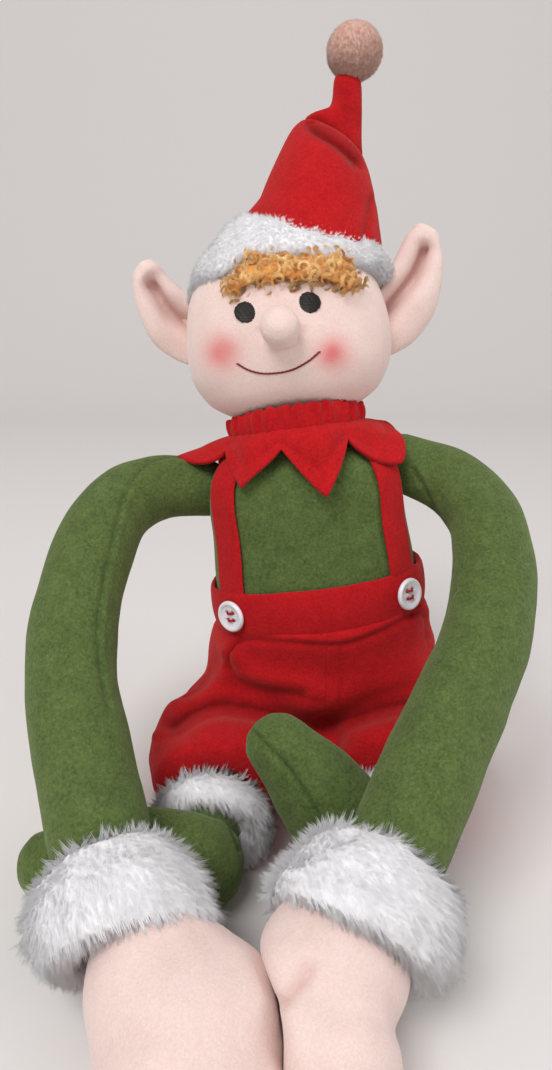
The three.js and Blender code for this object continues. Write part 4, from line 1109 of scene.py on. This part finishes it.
def build_arms():
    for side in ("right", "left"):
        knots = np.array(ARM_ROUTES[side])
        inner = (knots[:-2] + 2 * knots[1:-1] + knots[2:]) / 4
        route = np.concatenate((knots[:1], inner, knots[-1:]))
        arm = tube("arm_" + side + "_cloth", route,
                   [16.5, 18.5, 20, 21.2, 22, 22.3, 22.5, 23, 23, 21], 96, 220)
        swell(arm, lumps(points_of(arm), 30, 91) * 0.5 + lumps(points_of(arm), 11, 92) * 0.15)
        # The seam is sunk and darkened with painted shade.
        press(arm, SLEEVE_SEAMS[side], 2.2, 1.4, roll=0.5, painted_shade=0.25)
        elbow = route[5] * METRES
        way = unit(route[7] - route[3]) * METRES
        bends = ("arm_" + side, "forearm_" + side, tuple(elbow - way * ELBOW_BEND),
                 tuple(elbow + way * ELBOW_BEND))
        finish_piece(arm, "green_felt", bends, "upper_arm_" + side, "forearm_" + side, fill=0.9)
        cuff = form_of("cuff_" + side + "_fur", ["cuff_" + side], 2.0, 10, -0.5)
        uneven(cuff, 16, 95, 1.2)
        wrist = np.array(ARM_ROUTES[side][-1])
        points = points_of(cuff)
        ahead = (points - wrist) @ (way / METRES)
        move_to(cuff, points - np.outer(np.clip(ahead - CUFF_FREE, 0, 40) * CUFF_TAKEN_IN,
                                        way / METRES))
        furred(cuff, "white_plush", "plush_backing", long_tuft, 35, (0, -0.4, -0.2), 0.4, 93,
               "forearm_" + side, "cuff_" + side, 0.6)
        hand = form_of("hand_" + side + "_cloth", ["hand_" + side], 1.8, 16, 1.6)
        points = points_of(hand)
        behind = np.clip((HAND_BACK - (points - wrist) @ (way / METRES)) / 24, 0, 1)
        move_to(hand, points - np.outer(behind * HAND_TAKEN_IN, way / METRES))
        swell(hand, np.exp(-((behind - 0.35) / 0.4) ** 2) * 3.0)
        uneven(hand, 30, 94, 0.7)
        points = points_of(hand)
        if side == "right":
            off = points[:, 0] - RIGHT_HAND_MIDDLE
            points[:, 0] = RIGHT_HAND_MIDDLE + off * np.where(off < 0, 0.84, 1.07)
            fuller = near_pixel(points, *FULLER_AT)
            move_to(hand, points + np.outer(fuller * 5, (1, 0, 0.2)))
        else:
            thumb = near_pixel(points, *THUMB_AT)
            move_to(hand, points + np.outer(thumb * 9.5, (-1, 0, 0.2)))
            # The thumb's crease is sunk and darkened with painted shade.
            press(hand, THUMB_CREASE, 7, 3.0, painted_shade=0.3)
        finish_piece(hand, "skin_fleece", "hand_" + side, "hand_" + side, fill=0.8)


build_torso()
build_waistband()
for doll_side, sign in (("right", -1), ("left", 1)):
    build_strap(sign, "strap_" + doll_side)
    build_button(sign, "button_" + doll_side)
build_ruffle()
build_petals()
build_face(build_head())
build_ears()
build_fringe()
build_hat()
build_shorts()
build_legs()
build_arms()

# Floor, light and camera

SWEEP_FRONT, SWEEP_BACK, SWEEP_RADIUS, SWEEP_HIGH, SWEEP_SIDE = -3000, 1500, 900, 4000, 5000
LIGHT_TINT = (1, 0.99, 0.98, 1)


def build_floor():
    """A pale paper sweep: flat under the doll and far behind it curved up out of sight."""
    bend = [(SWEEP_FRONT, 0), (SWEEP_BACK, 0)] + [
        (SWEEP_BACK + SWEEP_RADIUS * math.sin(a), SWEEP_RADIUS - SWEEP_RADIUS * math.cos(a))
        for a in np.linspace(0.1, 1.57, 16)]
    bend.append((SWEEP_BACK + SWEEP_RADIUS, SWEEP_HIGH))
    points = [(x, y, z) for y, z in bend for x in (-SWEEP_SIDE, SWEEP_SIDE)]
    faces = [(k, k + 1, k + 3, k + 2) for k in range(0, len(points) - 2, 2)]
    floor = make("floor", points, faces)
    plain("floor_paper", "e9e5e3", 0.85)
    floor.data.materials.append(MATERIALS["floor_paper"])


build_floor()
world = bpy.data.worlds.new("studio")
world.use_nodes = True
sky = world.node_tree
sky.nodes.clear()
seen = add(sky, "ShaderNodeLightPath").outputs["Is Camera Ray"]
soft = add(sky, "ShaderNodeBackground", Color=LIGHT_TINT, Strength=0.45).outputs[0]
pale = add(sky, "ShaderNodeBackground", Color=linear("e9e6e4"), Strength=1.0).outputs[0]
mixed = add(sky, "ShaderNodeMixShader", {0: seen, 1: soft, 2: pale})
add(sky, "ShaderNodeOutputWorld", {"Surface": mixed.outputs[0]})
bpy.context.scene.world = world


def lamp(name, place, target, size, energy):
    data = bpy.data.lights.new(name, "AREA")
    data.size, data.energy = size, energy
    made = linked(name, data)
    made.location = place
    made.rotation_euler = (Vector(target) - Vector(place)).to_track_quat("-Z", "Y").to_euler()


lamp("key", (-0.8, -1.7, 2.4), (0, -0.05, 0.2), 1.3, 52.0)
lamp("fill", (2.0, -1.2, 1.3), (0, -0.05, 0.2), 1.6, 14.0)

camera_data = bpy.data.cameras.new("camera")
camera_data.sensor_width = 36
camera_data.lens = 36 * FOCAL_PIXELS / PICTURE[1]
camera = linked("camera", camera_data)
camera.location = CAMERA_PLACE * METRES
camera.rotation_euler = (math.pi / 2 - CAMERA_PITCH, 0, 0)
bpy.context.scene.camera = camera
bpy.context.scene.view_settings.view_transform = "Standard"
